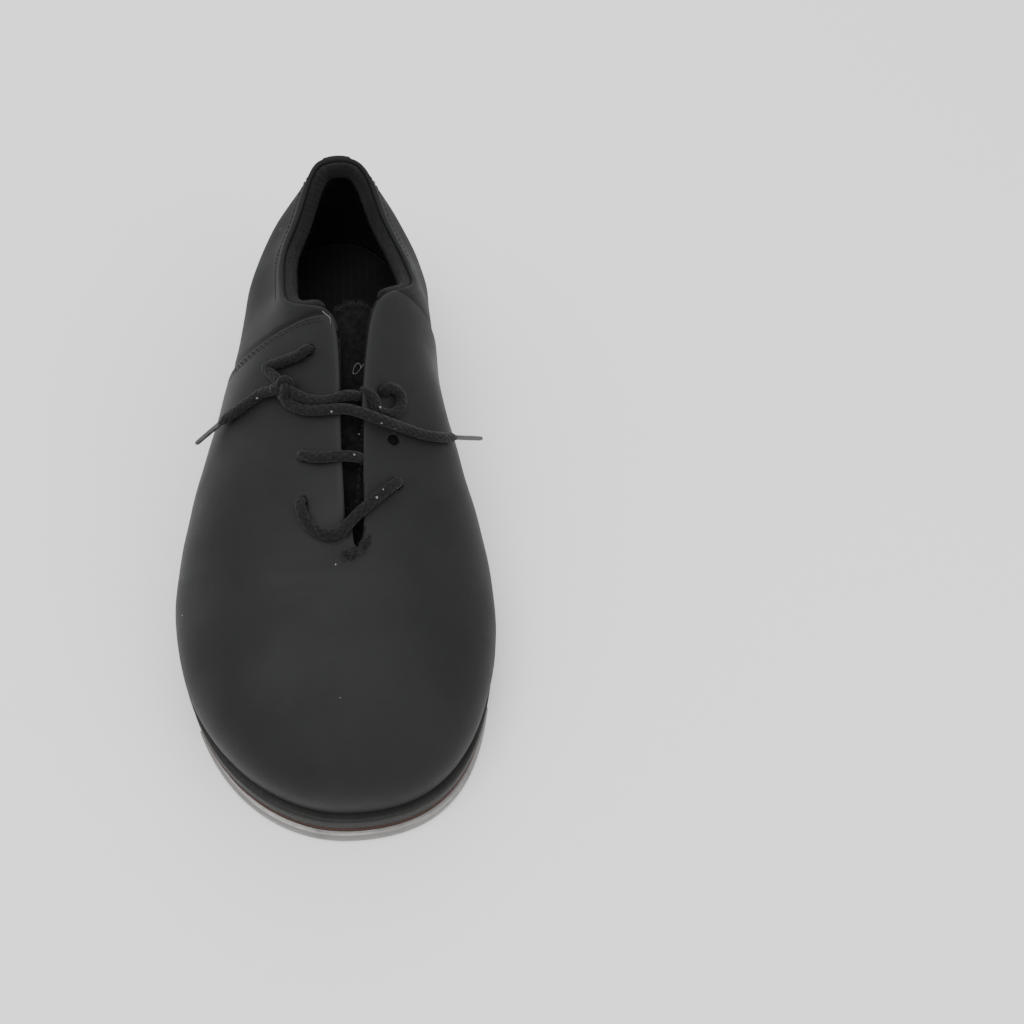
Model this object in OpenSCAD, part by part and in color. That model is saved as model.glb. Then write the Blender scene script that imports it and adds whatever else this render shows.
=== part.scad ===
// Lace-up tap shoe for the right foot, full sole, with its toe and heel taps.
// Frame: toe towards -Y, heel towards +Y, inner (medial) side towards +X, floor at z = 0.

/* [Overall size] */
// Length of the upper from the toe to the back of the heel
shoe_len = 255; // [212:1:306]
// Width of the upper across the ball of the foot, at the sole
ball_w = 111; // [92:0.5:134]
// Height of the throat above the sole
throat_h = 60; // [50:1:72]
// How much the heel seat stands above the tread
heel_rise = 12.5; // [9:0.5:18]

/* [Bottom] */
// Thickness of the toe and heel taps
tap_t = 4.5; // [3:0.1:6]
// Length of the toe tap
tap_len = 58; // [48:1:66]
// How far the toe tap stands out past the feather line
tap_ext = 1; // [0.5:0.1:3]
// How much further the toe tap stands out at its front
tap_lip = 4; // [2:0.1:4.5]
// Thickness of the fibre sound boards above the taps
board_t = 2.5; // [1.5:0.1:4]
// Thickness of the outsole
outsole_t = 6.5; // [4:0.1:8]
// How far the outsole stands out past the feather line
outsole_ext = 0.8; // [0:0.1:2.5]
// How much further the outsole stands out at the toe
toe_lip = 2.2; // [0:0.1:2.5]
// Length of the heel block
heel_len = 66; // [50:1:80]
// Thickness of the insole board
insole_t = 2; // [1.5:0.1:3]
// Thickness of the cushioned sock liner
sock_t = 3; // [1.5:0.1:5]
// Width of the waist shank
shank_w = 13; // [9:0.5:18]
// Thickness of the waist shank
shank_t = 1.2; // [0.8:0.1:2]
// Diameter of the tap screws' shanks
screw_d = 3; // [2:0.1:4]
// Length of the tap screws
screw_len = 9.5; // [8:0.1:11]

/* [Upper] */
// Thickness of the vamp leather
vamp_t = 1.4; // [1:0.1:2]
// Thickness of the quarter leather
quarter_t = 1.3; // [1:0.1:2]
// Thickness of the foam-backed vamp lining
vamp_lining_t = 1.9; // [1.5:0.1:2.6]
// Thickness of the quarter lining
quarter_lining_t = 0.8; // [0.6:0.1:1.4]
// Thickness of the toe puff
puff_t = 0.7; // [0.5:0.1:1]
// Thickness of the heel counter
counter_t = 1.1; // [0.8:0.1:1.6]
// Diameter of the padded collar roll
roll_d = 6; // [4:0.1:7]
// Thickness of the roll's fabric
binding_t = 1; // [0.6:0.1:1.4]
// Thickness of the tongue with its lining
tongue_t = 2.4; // [1.6:0.1:3.2]
// Diameter of the lace holes
hole_d = 4.4; // [3.8:0.1:5.5]

/* [Lace] */
// Diameter of the round lace
lace_d = 3.6; // [3:0.1:4]
// Diameter of the aglets
aglet_d = 1.9; // [1.5:0.1:3]
// Length of the aglets
aglet_len = 11.5; // [8:0.5:16]

/* [Ball flex] */
// Distance of the flex line from the toe
flex_at = 72; // [66:1:78]
// Room in front of the flex line, in degrees, for the bend of the vamp
flex_room = 33; // [32:1:36]

/* [Hidden] */
$fn = 48;

fit = 0.1;                                   // gap between pieces of one body
gap = 0.3;                                   // gap between the two bodies at the flex line
tread_z = tap_t + board_t + outsole_t;       // top of the outsole in the forepart
kx = ball_w / 111;
ky = shoe_len / 255;
kz = throat_h / 60;
mid = shoe_len / 2;                          // distance from the toe to the frame's origin
flex_y = flex_at * ky - mid;
heel_y = shoe_len - heel_len - mid;
centre_x = 4 * kx;                           // middle of the toe, from the origin

// Stations from the toe (first) round to the heel (last). Each has, in the reference size:
// distance from the toe, inner and outer half width at the feather line,
// inner and outer x of the slit or collar edge, its distances from the toe, its height over
// the sole, how far the wall leans out and stands up, and how the top runs in to the edge.
STATIONS = [
    [  2,   4,     4,     4,    4,    84.5,  84.5,  42,    7, 28,   0, -48,  -9],
    [  4,   23,   -11,    5,    4.2,  85,    84.5,  42.2,  7, 28,  15, -43,  -9],
    [ 14,   38,   -29.5,  6,    3.4,  86.5,  85.5,  42.8,  7, 28,  29, -31,  -9],
    [ 34,   49,   -46,    7.3,  3,    90.5,  89,    44.9,  6, 26,  35, -16,  -9],
    [ 58,   54.5, -54.5,  8.5,  2.8, 100,    97.5,  47.9,  6, 24,  34,  -7,  -9],
    [ 82,   54.5, -56.5, 10,    2.4, 115,   112,    51.2,  6, 23,  29,   0,  -9],
    [105,   50,   -54,   12,    2.4, 135,   131.5,  54.5,  6, 24,  25,   0, -11],
    [127,   43.5, -49,   14.2,  2.6, 153.5, 150,    58.3,  6, 26,  21,   4, -12],
    [146,   39.5, -44,   17.5,  0,   165,   160.5,  60,    5, 28,  17,   2, -12],
    [161,   38.5, -40.5, 26,  -10.5, 171,   164,    56.5,  5, 28,  10,   0, -14],
    [176,   37,   -37.5, 33.5,-19,   181,   174,    47.5,  5, 24,   5,   0, -15],
    [194,   36,   -35,   32.5,-19.5, 196,   192,    39,    6, 19,   5,   0, -14],
    [211,   36.5, -32.5, 29,  -20.5, 213,   210.5,  36,    8, 18,   7,   0, -14],
    [228,   34.5, -29,   22,  -14,   230,   227.5,  37,    8, 20,   7,   1, -16],
    [244,   25,   -22,   17.5, -9,   243.5, 241,    48.5,  8, 23,   8,   3, -19],
    [252,   14.5,  -8.5, 11,   -4.5, 249,   247.5,  50.5,  6, 25,   5,   4, -22],
    [254,    3,     3,    3.3,  3.3, 250,   250,    50,    5, 26,   0,   4, -22]
];
HEEL = len(STATIONS) - 1;                    // parameter u of the back of the heel
TURN = 2 * HEEL;                             // u runs once round the shoe, 0 at the toe

function clamp01(t) = min(1, max(0, t));
function smooth(t) = let (c = clamp01(t)) c * c * (3 - 2 * c);
function feather_z(s) = tread_z + heel_rise * smooth((s - 85) / 105);

// One row of four control points, from the feather line up to the slit or collar edge
function feather_at(k) = let (in = k <= HEEL, m = STATIONS[in ? k : TURN - k])
    [kx * m[in ? 1 : 2], ky * m[0] - mid, feather_z(m[0])];
function around(k) = (k % TURN + TURN) % TURN;
function row_at(k) = let (
        in = k <= HEEL, side = in ? 1 : -1, m = STATIONS[in ? k : TURN - k],
        f = feather_at(k), t = feather_at(around(k + 1)) - feather_at(around(k - 1)),
        out = [t.y, -t.x, 0] / norm([t.x, t.y]), s = m[in ? 5 : 6],
        edge = [kx * m[in ? 3 : 4], ky * s - mid, feather_z(s) + kz * m[7]])
    [f, f + m[8] * out + [0, 0, kz * m[9]],
     edge + [kx * side * m[10], ky * m[11], kz * m[12]], edge];
ROWS = [for (k = [0 : TURN - 1]) row_at(k)];

// The surface of the upper: smooth along u, a cubic curve from v = 0 up to v = 1
function blend4(w, u) = let (k = floor(u)) [for (j = [0 : 3])
    w[0] * ROWS[around(k - 1)][j] + w[1] * ROWS[around(k)][j]
    + w[2] * ROWS[around(k + 1)][j] + w[3] * ROWS[around(k + 2)][j]];
function rib(u) = let (t = u - floor(u)) blend4(
    [pow(1 - t, 3), 3*t*t*t - 6*t*t + 4, -3*t*t*t + 3*t*t + 3*t + 1, t*t*t] / 6, u);
function rib_rate(u) = let (t = u - floor(u)) blend4(
    [-(1 - t) * (1 - t), 3*t*t - 4*t, -3*t*t + 2*t + 1, t*t] / 2, u);
function up_rib(q, v) = let (w = 1 - v)
    w*w*w * q[0] + 3*w*w*v * q[1] + 3*w*v*v * q[2] + v*v*v * q[3];
function up_rate(q, v) = let (w = 1 - v)
    3 * (w*w * (q[1] - q[0]) + 2*w*v * (q[2] - q[1]) + v*v * (q[3] - q[2]));
function unit(a) = a / norm(a);
// The point at depth d under the surface
function skin(u, v, d) = let (q = rib(u))
    up_rib(q, v) - d * unit(cross(up_rib(rib_rate(u), v), up_rate(q, v)));

// Height along one rib where f, which rises, passes zero
function rise_to(u, f, a = 0, b = 1, n = 14) = let (m = (a + b) / 2)
    n == 0 ? m : f(up_rib(rib(u), m)) < 0 ? rise_to(u, f, m, b, n - 1) : rise_to(u, f, a, m, n - 1);
function feather_u(y, a, b, n = 16) = let (m = (a + b) / 2)
    n == 0 ? m : rib(m)[0].y < y ? feather_u(y, m, b, n - 1) : feather_u(y, a, m, n - 1);

// The planes through the flex line that bound the toe and the rest of the upper
front_of = function (p) p.y - flex_y + (p.z - tread_z) * tan(flex_room);
back_of = function (p) p.y - flex_y;
flex_u = feather_u(flex_y, 0, HEEL);         // where the feather line meets the flex line

// The seam where the vamp lies over the quarters, inner (side 1) and outer (side -1)
tuck = 0.5;                                  // width in u of the quarter under the vamp
function seam_u(v, side) = side > 0 ? 9.9 - 0.95 * v - 0.15 * pow(v, 8)
                                    : 9.55 - 1.35 * v - 0.4 * pow(v, 8);

// A grid of [u, v] pairs, na + 1 columns of nb + 1, from a rule on 0..1
function grid(na, nb, rule) = [for (i = [0 : na]) [for (j = [0 : nb]) rule(i / na, j / nb)]];
function ramp(a, b, t) = a + (b - a) * t;

// A closed shell between two depths over such a grid
module shell(g, top, bottom) {
    m = len(g);
    n = len(g[0]);
    all = m * n;
    points = concat([for (c = g) for (p = c) skin(p[0], p[1], top(p[0], p[1]))],
                    [for (c = g) for (p = c) skin(p[0], p[1], bottom(p[0], p[1]))]);
    sheets = [for (i = [0 : m - 2]) for (j = [0 : n - 2])
        let (a = i * n + j, b = a + n, c = b + 1, d = a + 1)
        each [[a, d, c], [a, c, b], [all + a, all + c, all + d], [all + a, all + b, all + c]]];
    rims = concat([for (j = [0 : n - 2]) [j, j + 1]],
                  [for (i = [0 : m - 2]) [i * n + n - 1, (i + 1) * n + n - 1]],
                  [for (j = [n - 1 : -1 : 1]) [(m - 1) * n + j, (m - 1) * n + j - 1]],
                  [for (i = [m - 1 : -1 : 1]) [i * n, (i - 1) * n]]);
    walls = [for (r = rims) each [[r[0], r[0] + all, r[1] + all], [r[0], r[1] + all, r[1]]]];
    polyhedron(points = points, faces = concat(sheets, walls), convexity = 8);
}

// A tube of r along a line of points, each with two directions across the line
module tube(line, r, sides = 8) {
    m = len(line);
    points = [for (c = line) for (i = [0 : sides - 1])
        c[0] + r * (cos(360 * i / sides) * c[1] + sin(360 * i / sides) * c[2])];
    walls = [for (k = [0 : m - 2]) for (i = [0 : sides - 1])
        let (a = k * sides + i, b = k * sides + (i + 1) % sides)
        each [[a, a + sides, b + sides], [a, b + sides, b]]];
    ends = [[for (i = [0 : sides - 1]) i], [for (i = [sides - 1 : -1 : 0]) (m - 1) * sides + i]];
    polyhedron(points = points, faces = concat(walls, ends), convexity = 8);
}

// A smooth route through hand-set points, with its frame at each ring
function through(p, i, t) = let (
        a = p[max(0, i - 1)], b = p[i], c = p[i + 1], d = p[min(len(p) - 1, i + 2)])
    (2 * b + (c - a) * t + (2*a - 5*b + 4*c - d) * t*t + (3*b - a - 3*c + d) * t*t*t) / 2;
function route(p, n = 2) = concat([for (i = [0 : len(p) - 2]) for (t = [0 : n - 1])
    through(p, i, t / n)], [p[len(p) - 1]]);
function framed(r) = let (m = len(r)) [for (k = [0 : m - 1]) let (
        t = unit(r[min(m - 1, k + 1)] - r[max(0, k - 1)]),
        a = unit(cross(abs(t.z) > 0.9 ? [1, 0, 0] : [0, 0, 1], t)), b = cross(t, a)) [r[k], a, b]];
module cord(points, d) tube(framed(route(points)), d / 2);

// Outline of the feather line in plan, moved out by d, and by lip more at the toe
function plan(d, lip = 0) = [for (i = [0 : 95]) let (
    u = TURN * i / 96, q = rib(u)[0], t = rib_rate(u)[0], l = norm([t.x, t.y]),
    out = d + lip * smooth(1 - (q.y + mid) / (52 * ky))) [q.x + out * t.y / l,
    q.y - out * t.x / l]];
// Side view of the feather line, from in front of the toe to behind the heel
SOLE_LINE = concat([[-mid - 20, tread_z]], [for (i = [0 : 2 * HEEL]) let (q = rib(i / 2)[0])
    [q.y, q.z]], [[mid + 20, tread_z + heel_rise]]);
function lifted(d) = [for (p = SOLE_LINE) [p[0], p[1] + d]];
function backwards(a) = [for (i = [len(a) - 1 : -1 : 0]) a[i]];
module across(outline) translate([-100, 0, 0]) rotate([90, 0, 90]) linear_extrude(200)
    polygon(outline);
// A layer that follows the sole line between two heights over it, with plan outline moved by d
module layer(d, low, high) intersection() {
    linear_extrude(150) polygon(plan(d));
    across(concat(lifted(low), backwards(lifted(high))));
}
module flat_layer(d, low, high, lip = 0) translate([0, 0, low]) linear_extrude(high - low)
    polygon(plan(d, lip));
// Everything in front of, or behind, the flex line
module front_half() across([[-mid - 30, -1], [flex_y - gap / 2, -1], [flex_y - gap / 2, tread_z],
    [flex_y - gap / 2 - 40 * tan(flex_room), tread_z + 40], [-mid - 30, tread_z + 40]]);
module back_half() translate([-100, flex_y + gap / 2, -1]) cube([200, 250, 100]);
module heel_half(y) translate([-100, y, -1]) cube([200, 250, 100]);

inset = vamp_t + vamp_lining_t + quarter_lining_t + counter_t + 0.4; // wall at the insole
core = tread_z - outsole_t;                  // underside of the outsole in the forepart

// Tap screws: places in x and distance from the toe
TOE_SCREWS = [[centre_x, 15 * ky - mid], [centre_x - 30 * kx, 38 * ky - mid],
              [centre_x + 30 * kx, 38 * ky - mid]];
HEEL_SCREWS = [[centre_x - kx, mid - 10 * ky], [centre_x - 20 * kx, mid - 38 * ky],
               [centre_x + 19 * kx, mid - 38 * ky]];
head_d = 2.2 * screw_d;
head_h = 0.8 * screw_d;
head_sink = 0.3;                             // depth of a head below the tap's face
module screw_shape(play) translate([0, 0, head_sink]) {
    translate([0, 0, -play]) cylinder(d1 = head_d + 2 * play, d2 = screw_d + 2 * play,
        h = head_h);
    cylinder(d = screw_d + 2 * play, h = screw_len - head_sink + 4 * play);
}
module screws(places) for (p = places) translate([p[0], p[1], 0]) difference() {
    screw_shape(0);
    translate([0, 0, head_sink - 0.1]) cylinder(d = 0.45 * screw_d, h = 0.9, $fn = 6);
}
module sinks(places) for (p = places) translate([p[0], p[1], 0]) {
    screw_shape(fit / 2);
    translate([0, 0, -1]) cylinder(d = head_d + fit, h = 1 + head_sink - fit / 2 + 0.001);
}

tap_r = 1.4 * tap_len * ky;                  // radius of the toe tap's rear edge
board_past = 4;                              // how far the toe board runs behind the tap
module toe_part(ext, lip, past) intersection() {
    polygon(plan(ext, lip));
    translate([centre_x, tap_len * ky - mid - tap_r + past]) circle(tap_r, $fn = 96);
}

module toe_tap() color("silver") difference() {
    linear_extrude(tap_t) toe_part(tap_ext, tap_lip, 0);
    sinks(TOE_SCREWS);
}
module toe_tap_screws() color("gainsboro") screws(TOE_SCREWS);
module toe_sound_board() color("sienna") difference() {
    translate([0, 0, tap_t]) linear_extrude(board_t) toe_part(outsole_ext, toe_lip, board_past);
    sinks(TOE_SCREWS);
}
module outsole_forepart() color("#1c1c1d") difference() {
    intersection() {
        flat_layer(outsole_ext, core, tread_z - fit, toe_lip);
        front_half();
    }
    sinks(TOE_SCREWS);
}
module insole_board_forepart() color("tan") intersection() {
    flat_layer(-inset, tread_z, tread_z + insole_t);
    front_half();
}
module sock_liner_forepart() color("dimgray") intersection() {
    flat_layer(-inset, tread_z + insole_t, tread_z + insole_t + sock_t);
    front_half();
}
module outsole_rear() color("#1c1c1d") difference() {
    intersection() {
        layer(outsole_ext, -outsole_t, -fit);
        back_half();
    }
    shank_body(0.15);
}
module shank_body(play) intersection() {
    translate([centre_x - shank_w / 2 - play, 40 * ky - mid + flex_at * ky - play, 0])
        cube([shank_w + 2 * play, 95 * ky + 2 * play, 100]);
    across(concat(lifted(-fit - shank_t - play), backwards(lifted(play > 0 ? 1 : -fit))));
}
module shank() color("slategray") shank_body(0);
module insole_board_rear() color("tan") intersection() {
    layer(-inset, 0, insole_t);
    back_half();
}
module sock_liner_rear() color("dimgray") intersection() {
    layer(-inset, insole_t, insole_t + sock_t);
    back_half();
}
module heel_block() color("#222224") difference() {
    intersection() {
        flat_layer(outsole_ext, tap_t + board_t, tread_z + heel_rise);
        across(concat([[-mid - 20, 0], [mid + 20, 0]], backwards(lifted(-outsole_t))));
        heel_half(heel_y);
    }
    sinks(HEEL_SCREWS);
}
module heel_board() color("sienna") difference() {
    intersection() {
        flat_layer(outsole_ext, tap_t, tap_t + board_t);
        heel_half(heel_y);
    }
    sinks(HEEL_SCREWS);
}
breast_gap = 3;                              // from the heel's breast back to its tap
heel_scoop = 17;                             // radius of the hollow in the heel tap's front
module heel_tap() color("silver") difference() {
    intersection() {
        flat_layer(outsole_ext, 0, tap_t);
        heel_half(heel_y + breast_gap);
    }
    translate([centre_x, heel_y - 2, -1]) cylinder(r = heel_scoop * kx, h = tap_t + 2, $fn = 96);
    sinks(HEEL_SCREWS);
}
module heel_tap_screws() color("gainsboro") screws(HEEL_SCREWS);

// Heights of the two flex boundaries on the rib at u, and of the seam's tuck
function front_v(u) = rise_to(u, front_of) - 0.004;
function back_v(u) = rise_to(u, back_of) + 0.004;
toe_half = flex_u - 0.1;                     // u where the toe pieces end at the flex line
function toe_grid(na, nb, low, high) = grid(na, nb, function (a, b)
    let (u = ramp(-toe_half, toe_half, a)) [u, ramp(low, high * front_v(u), b)]);
function crease_grid(na, nb) = grid(na, nb, function (a, b)
    let (u = ramp(-toe_half, toe_half, a)) [u, ramp(front_v(u) + 0.008, back_v(u) - 0.008, b)]);
depth_at = function (d) function (u, v) d;
ply = 0.25;                                  // room between two layers of the upper
puff_u = 2.6;                                // the puff's reach to each side, in u
puff_v = 0.5;                                // the puff's height, in v
puff_mask = function (u, v) smooth((puff_u + 0.6 - abs(u)) / 0.45)
    * smooth((puff_v + 0.14 - v) / 0.1);
puff_room = function (u, v) vamp_t + ply + puff_mask(u, v) * (puff_t + ply);
lining_bottom = vamp_t + ply + vamp_lining_t;

module vamp_toe() color("#2e2f30") shell(toe_grid(40, 8, 0, 1), depth_at(0), depth_at(vamp_t));
module toe_puff() color("gray") shell(grid(26, 8, function (a, b) [ramp(-puff_u, puff_u, a),
    ramp(0.02, puff_v, b)]), depth_at(vamp_t + ply), depth_at(vamp_t + ply + puff_t));
module vamp_lining_toe() color("#232324") shell(toe_grid(40, 8, 0.03, 1), puff_room,
    depth_at(lining_bottom));
module vamp_crease() color("#2e2f30") shell(crease_grid(32, 4), depth_at(0), depth_at(vamp_t));
module lining_crease() color("#232324") shell(crease_grid(32, 4), depth_at(vamp_t + ply),
    depth_at(lining_bottom));

// Columns right across the instep from the outer seam, over the front, to the inner seam
function instep_u(a, v, past) = let (
        w = 2 * flex_u / (seam_u(0.5, 1) + seam_u(0.5, -1)), k = (1 - w) / 2)
    a < k ? -ramp(seam_u(v, -1) - past, flex_u, a / k)
    : a > 1 - k ? ramp(flex_u, seam_u(v, 1) - past, (a - 1 + k) / k)
    : ramp(-flex_u, flex_u, (a - k) / w);
function instep_grid(na, nb, past, low, high) = grid(na, nb, function (a, b)
    let (u0 = instep_u(a, 0, past), v0 = abs(u0) < flex_u + 0.02 ? max(low, back_v(u0)) : low,
         v = ramp(v0, high, b)) [instep_u(a, v, past), v]);
// 1 where a quarter lies under the vamp
tuck_mask = function (u, v) smooth((abs(u) - seam_u(v, sign(u)) + tuck + 0.35) / 0.25);
under_tuck = function (u, v) vamp_t + 1.5 * ply + tuck_mask(u, v) * quarter_t;
instep_pad = 0.8;                            // how much thicker the lining is at the instep
lining_back = 0.75;                          // from the seam forward to the end of the lining

// Lace holes as [u, v], inner side first
HOLES = [[4.33, 0.86], [5.15, 0.87], [5.93, 0.915],
         [-4.1, 0.86], [-5.05, 0.86], [-6.05, 0.86], [-7.05, 0.86]];
module lace_holes() for (h = HOLES) let (
        p = skin(h[0], h[1], 0), n = unit(p - skin(h[0], h[1], 1)),
        tilt = acos(n.z), turn = atan2(n.y, n.x))
    translate(p) rotate([0, tilt, turn]) translate([0, 0, -8])
        cylinder(d = hole_d, h = 12, $fn = 24);

module vamp_instep() color("#2e2f30") difference() {
    shell(instep_grid(64, 8, 0, 0, 1), depth_at(0), depth_at(vamp_t));
    lace_holes();
    strands(lace_d + 3 * fit);
}
module vamp_lining_instep() color("#232324") difference() {
    shell(instep_grid(64, 8, lining_back, 0.03, 0.985), under_tuck,
        depth_at(lining_bottom + instep_pad));
    lace_holes();
    strands(lace_d + 3 * fit);
}
module quarter(side) shell(grid(18, 8, function (a, b)
        let (u = ramp(seam_u(b, side) - tuck, HEEL - 0.02, a)) [side > 0 ? u : -u, b]),
    depth_at(side > 0 ? vamp_t + fit : vamp_t + quarter_t),
    depth_at(side > 0 ? vamp_t + quarter_t : vamp_t + fit));
module quarter_medial() color("#2a2b2c") quarter(1);
module quarter_lateral() color("#333435") quarter(-1);
module back_strip() color("#2a2b2c") shell(grid(6, 8, function (a, b)
    [ramp(HEEL - 0.6, HEEL + 0.6, a), ramp(0, 1, b)]), depth_at(0.3), depth_at(vamp_t));
counter_top = vamp_t + quarter_t + fit;
module heel_counter() color("gray") shell(grid(20, 5, function (a, b)
    [ramp(12.2, TURN - 12.2, a), ramp(0.02, 0.6, b)]), depth_at(counter_top),
    depth_at(counter_top + counter_t));
counter_mask = function (u, v) let (w = around(u)) smooth((w - 11.4) / 0.6)
    * smooth((TURN - 11.4 - w) / 0.6) * smooth((0.74 - v) / 0.1);
counter_room = function (u, v) counter_top + counter_mask(u, v) * (counter_t + fit);
counter_floor = function (u, v) counter_room(u, v) + quarter_lining_t;
// The quarter lining starts where the vamp's lining ends, on both sides
function lining_u(v, side) = seam_u(v, side) - lining_back + 0.08;
module quarter_lining() color("#202021") shell(grid(44, 8, function (a, b)
    let (v = ramp(0.03, 0.9, b)) [ramp(lining_u(v, 1), TURN - lining_u(v, -1), a), v]),
    counter_room, counter_floor);

// The padded roll round the collar, from the throat's inner side to its outer side
roll_from = 8.3;
roll_depth = vamp_t + quarter_t + fit + roll_d / 2;
function roll_line(n) = [for (i = [0 : n]) let (
        u = ramp(roll_from, TURN - roll_from, i / n), p = skin(u, 0.97, roll_depth),
        out = unit(skin(u, 0.97, 0) - p), up = unit(up_rate(rib(u), 0.97))) [p, up, out]];
module collar_foam() color("gray") tube(roll_line(48), roll_d / 2 - binding_t - 0.05);
module collar_binding() color("#242425") difference() {
    tube(roll_line(48), roll_d / 2);
    tube(roll_line(48), roll_d / 2 - binding_t);
}

// The tongue, a curved blade that follows the slit under the facings
tongue_from = 80;
tongue_to = 167.5;
slit_start = 84.5;
function slit_z(s) = let (t = s - slit_start) feather_z(slit_start)
    + kz * (42 + 0.39 * t - 0.0004 * t * t);
function tongue_drop(s) = instep_pad + 0.5 + 2.1 * smooth((s - 112) / 30);
function tongue_pt(s, x, d) = let (w = (s - slit_start) * 0.058 + 4)
    [kx * (w + x), ky * s - mid,
     slit_z(s) - lining_bottom - tongue_drop(s) - 0.024 * x * x - d];
function tongue_w(s) = (11 + 4 * smooth((s - tongue_from) / 45) - 4.2 * smooth((s - 128) / 28))
    * sqrt(1 - pow(clamp01((s - 157) / 11), 2));
module tongue() color("#252627") {
    na = 14;
    nb = 8;
    spots = [for (i = [0 : na]) for (j = [0 : nb]) let (s = ramp(tongue_from, tongue_to, i / na))
        [s, ramp(-1, 1, j / nb) * tongue_w(s)]];
    all = len(spots);
    points = concat([for (p = spots) tongue_pt(p[0], p[1], 0)],
                    [for (p = spots) tongue_pt(p[0], p[1], tongue_t)]);
    row = nb + 1;
    sheets = [for (i = [0 : na - 1]) for (j = [0 : nb - 1])
        let (a = i * row + j, b = a + row, c = b + 1, d = a + 1)
        each [[a, b, c], [a, c, d], [all + a, all + c, all + b], [all + a, all + d, all + c]]];
    rims = concat([for (j = [0 : nb - 1]) [j + 1, j]],
                  [for (i = [0 : na - 1]) [i * row, (i + 1) * row]],
                  [for (j = [0 : nb - 1]) [na * row + j, na * row + j + 1]],
                  [for (i = [na : -1 : 1]) [i * row + nb, (i - 1) * row + nb]]);
    walls = [for (r = rims) each [[r[0], r[0] + all, r[1] + all], [r[0], r[1] + all, r[1]]]];
    polyhedron(points = points, faces = concat(sheets, walls), convexity = 6);
}
module bar_tack() color("#3a3a3a") shell(grid(8, 3, function (a, b)
    [ramp(-2.4, 2.4, a), ramp(0.955, 0.99, b)]), depth_at(-0.5), depth_at(-fit / 2));

lace_in = -(lining_bottom + instep_pad + 0.25);    // height of an end that goes inside
// The lace: its bars, its loop and its knot, and the two ends that lie free. Each point is
// [u, v, height over the leather]. From v = 1 to 2 it crosses the slit, from inner to outer edge.
LOWER_BAR = [[-4.1, 0.86, lace_in], [-4.1, 0.86, 0.9], [-3.76, 0.87, 2.4], [-3.34, 0.89, 2.3],
    [-2.88, 0.92, 2.2], [-2.42, 0.95, 2.2], [-2.04, 0.99, 2.4], [2.5, 1, 2.6], [3.28, 0.97, 2.4],
    [3.78, 0.93, 2.2], [4.12, 0.89, 2.2], [4.33, 0.86, 0.9], [4.33, 0.86, lace_in]];
MIDDLE_BAR = [[-5.05, 0.86, lace_in], [-5.05, 0.86, 0.9], [-4.88, 0.905, 2.2], [-4.8, 0.945, 2.2],
    [-4.74, 0.995, 2.2], [4.65, 1.5, 2], [4.58, 0.995, -1], [4.6, 0.965, lace_in + 0.1]];
UPPER_STRAND = [[-7.05, 0.86, lace_in], [-7.05, 0.86, 0.9], [-6.96, 0.835, 2.4],
    [-7.02, 0.785, 2.1], [-7.1, 0.735, 2.1], [-7.2, 0.685, 2.2], [-7.18, 0.67, 2.4],
    [-6.98, 0.695, 2.5], [-6.68, 0.74, 2.8], [-6.46, 0.775, 3.2]];
CROSS_STRAND = [[-6.34, 0.795, 3.4], [-6.14, 0.84, 2.8], [-5.98, 0.885, 2.4], [-5.86, 0.94, 2.2],
    [-5.82, 0.985, 2.2], [5.83, 1.8, 2.4], [5.83, 1.525, 1], [5.8, 1.15, -2.5],
    [5.8, 0.99, lace_in + 0.4]];
LACE_LOOP = [[5.92, 0.985, -3.6], [5.82, 0.985, 0.6], [5.68, 0.965, 2], [5.52, 0.945, 2.1],
    [5.52, 0.9, 2.1], [5.66, 0.86, 2.1], [5.88, 0.84, 2.2], [6, 0.86, 2.4], [5.98, 0.905, 2.8],
    [5.93, 0.915, 0.9], [5.93, 0.915, lace_in]];
LATERAL_END = [[-6.4, 0.775, 3.4], [-6.54, 0.72, 3], [-6.7, 0.655, 2.2], [-6.76, 0.595, 2.1],
    [-6.84, 0.525, 2.1], [-6.98, 0.44, 1.9], [-7.04, 0.41, 1.9]];
MEDIAL_END = [[-6.4, 0.775, 3.4], [-6.16, 0.79, 3], [-5.92, 0.84, 2.4], [-5.76, 0.9, 2.2],
    [-5.66, 0.97, 2.4], [5.55, 1.625, 3.8], [5.33, 1.05, 5.8], [5.28, 0.925, 5.6],
    [5.38, 0.835, 3], [5.54, 0.735, 2.1], [5.82, 0.63, 2], [6.34, 0.48, 2]];
function over(p) = p[1] <= 1 ? skin(p[0], p[1], -p[2])
    : ramp(skin(p[0], 1, -p[2]), skin(-p[0], 1, -p[2]), p[1] - 1);
function way(row) = [for (p = row) over(p)];
LATERAL_AGLET = [-0.77, -0.38, -0.51];       // directions of the aglets
MEDIAL_AGLET = [0.87, 0.25, -0.42];

KNOT = [-6.4, 0.775, 4.5];
knot_r = 4.4;
module strands(d) for (points = [LOWER_BAR, MIDDLE_BAR, LACE_LOOP, UPPER_STRAND, CROSS_STRAND])
    cord(way(points), d);
module lace() color("#262728") {
    strands(lace_d);
    translate(over(KNOT)) sphere(r = knot_r);
}
module lace_end_lateral() color("#262728") cord(way(LATERAL_END), lace_d);
module lace_end_medial() color("#262728") cord(way(MEDIAL_END), lace_d);
module aglet(end, to) translate(over(end)) rotate([0, acos(to.z / norm(to)), atan2(to.y, to.x)])
    translate([0, 0, 5 * fit]) cylinder(d = aglet_d, h = aglet_len, $fn = 24);
module aglet_lateral() color("silver") aglet(LATERAL_END[6], LATERAL_AGLET);
module aglet_medial() color("silver") aglet(MEDIAL_END[11], MEDIAL_AGLET);

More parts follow.
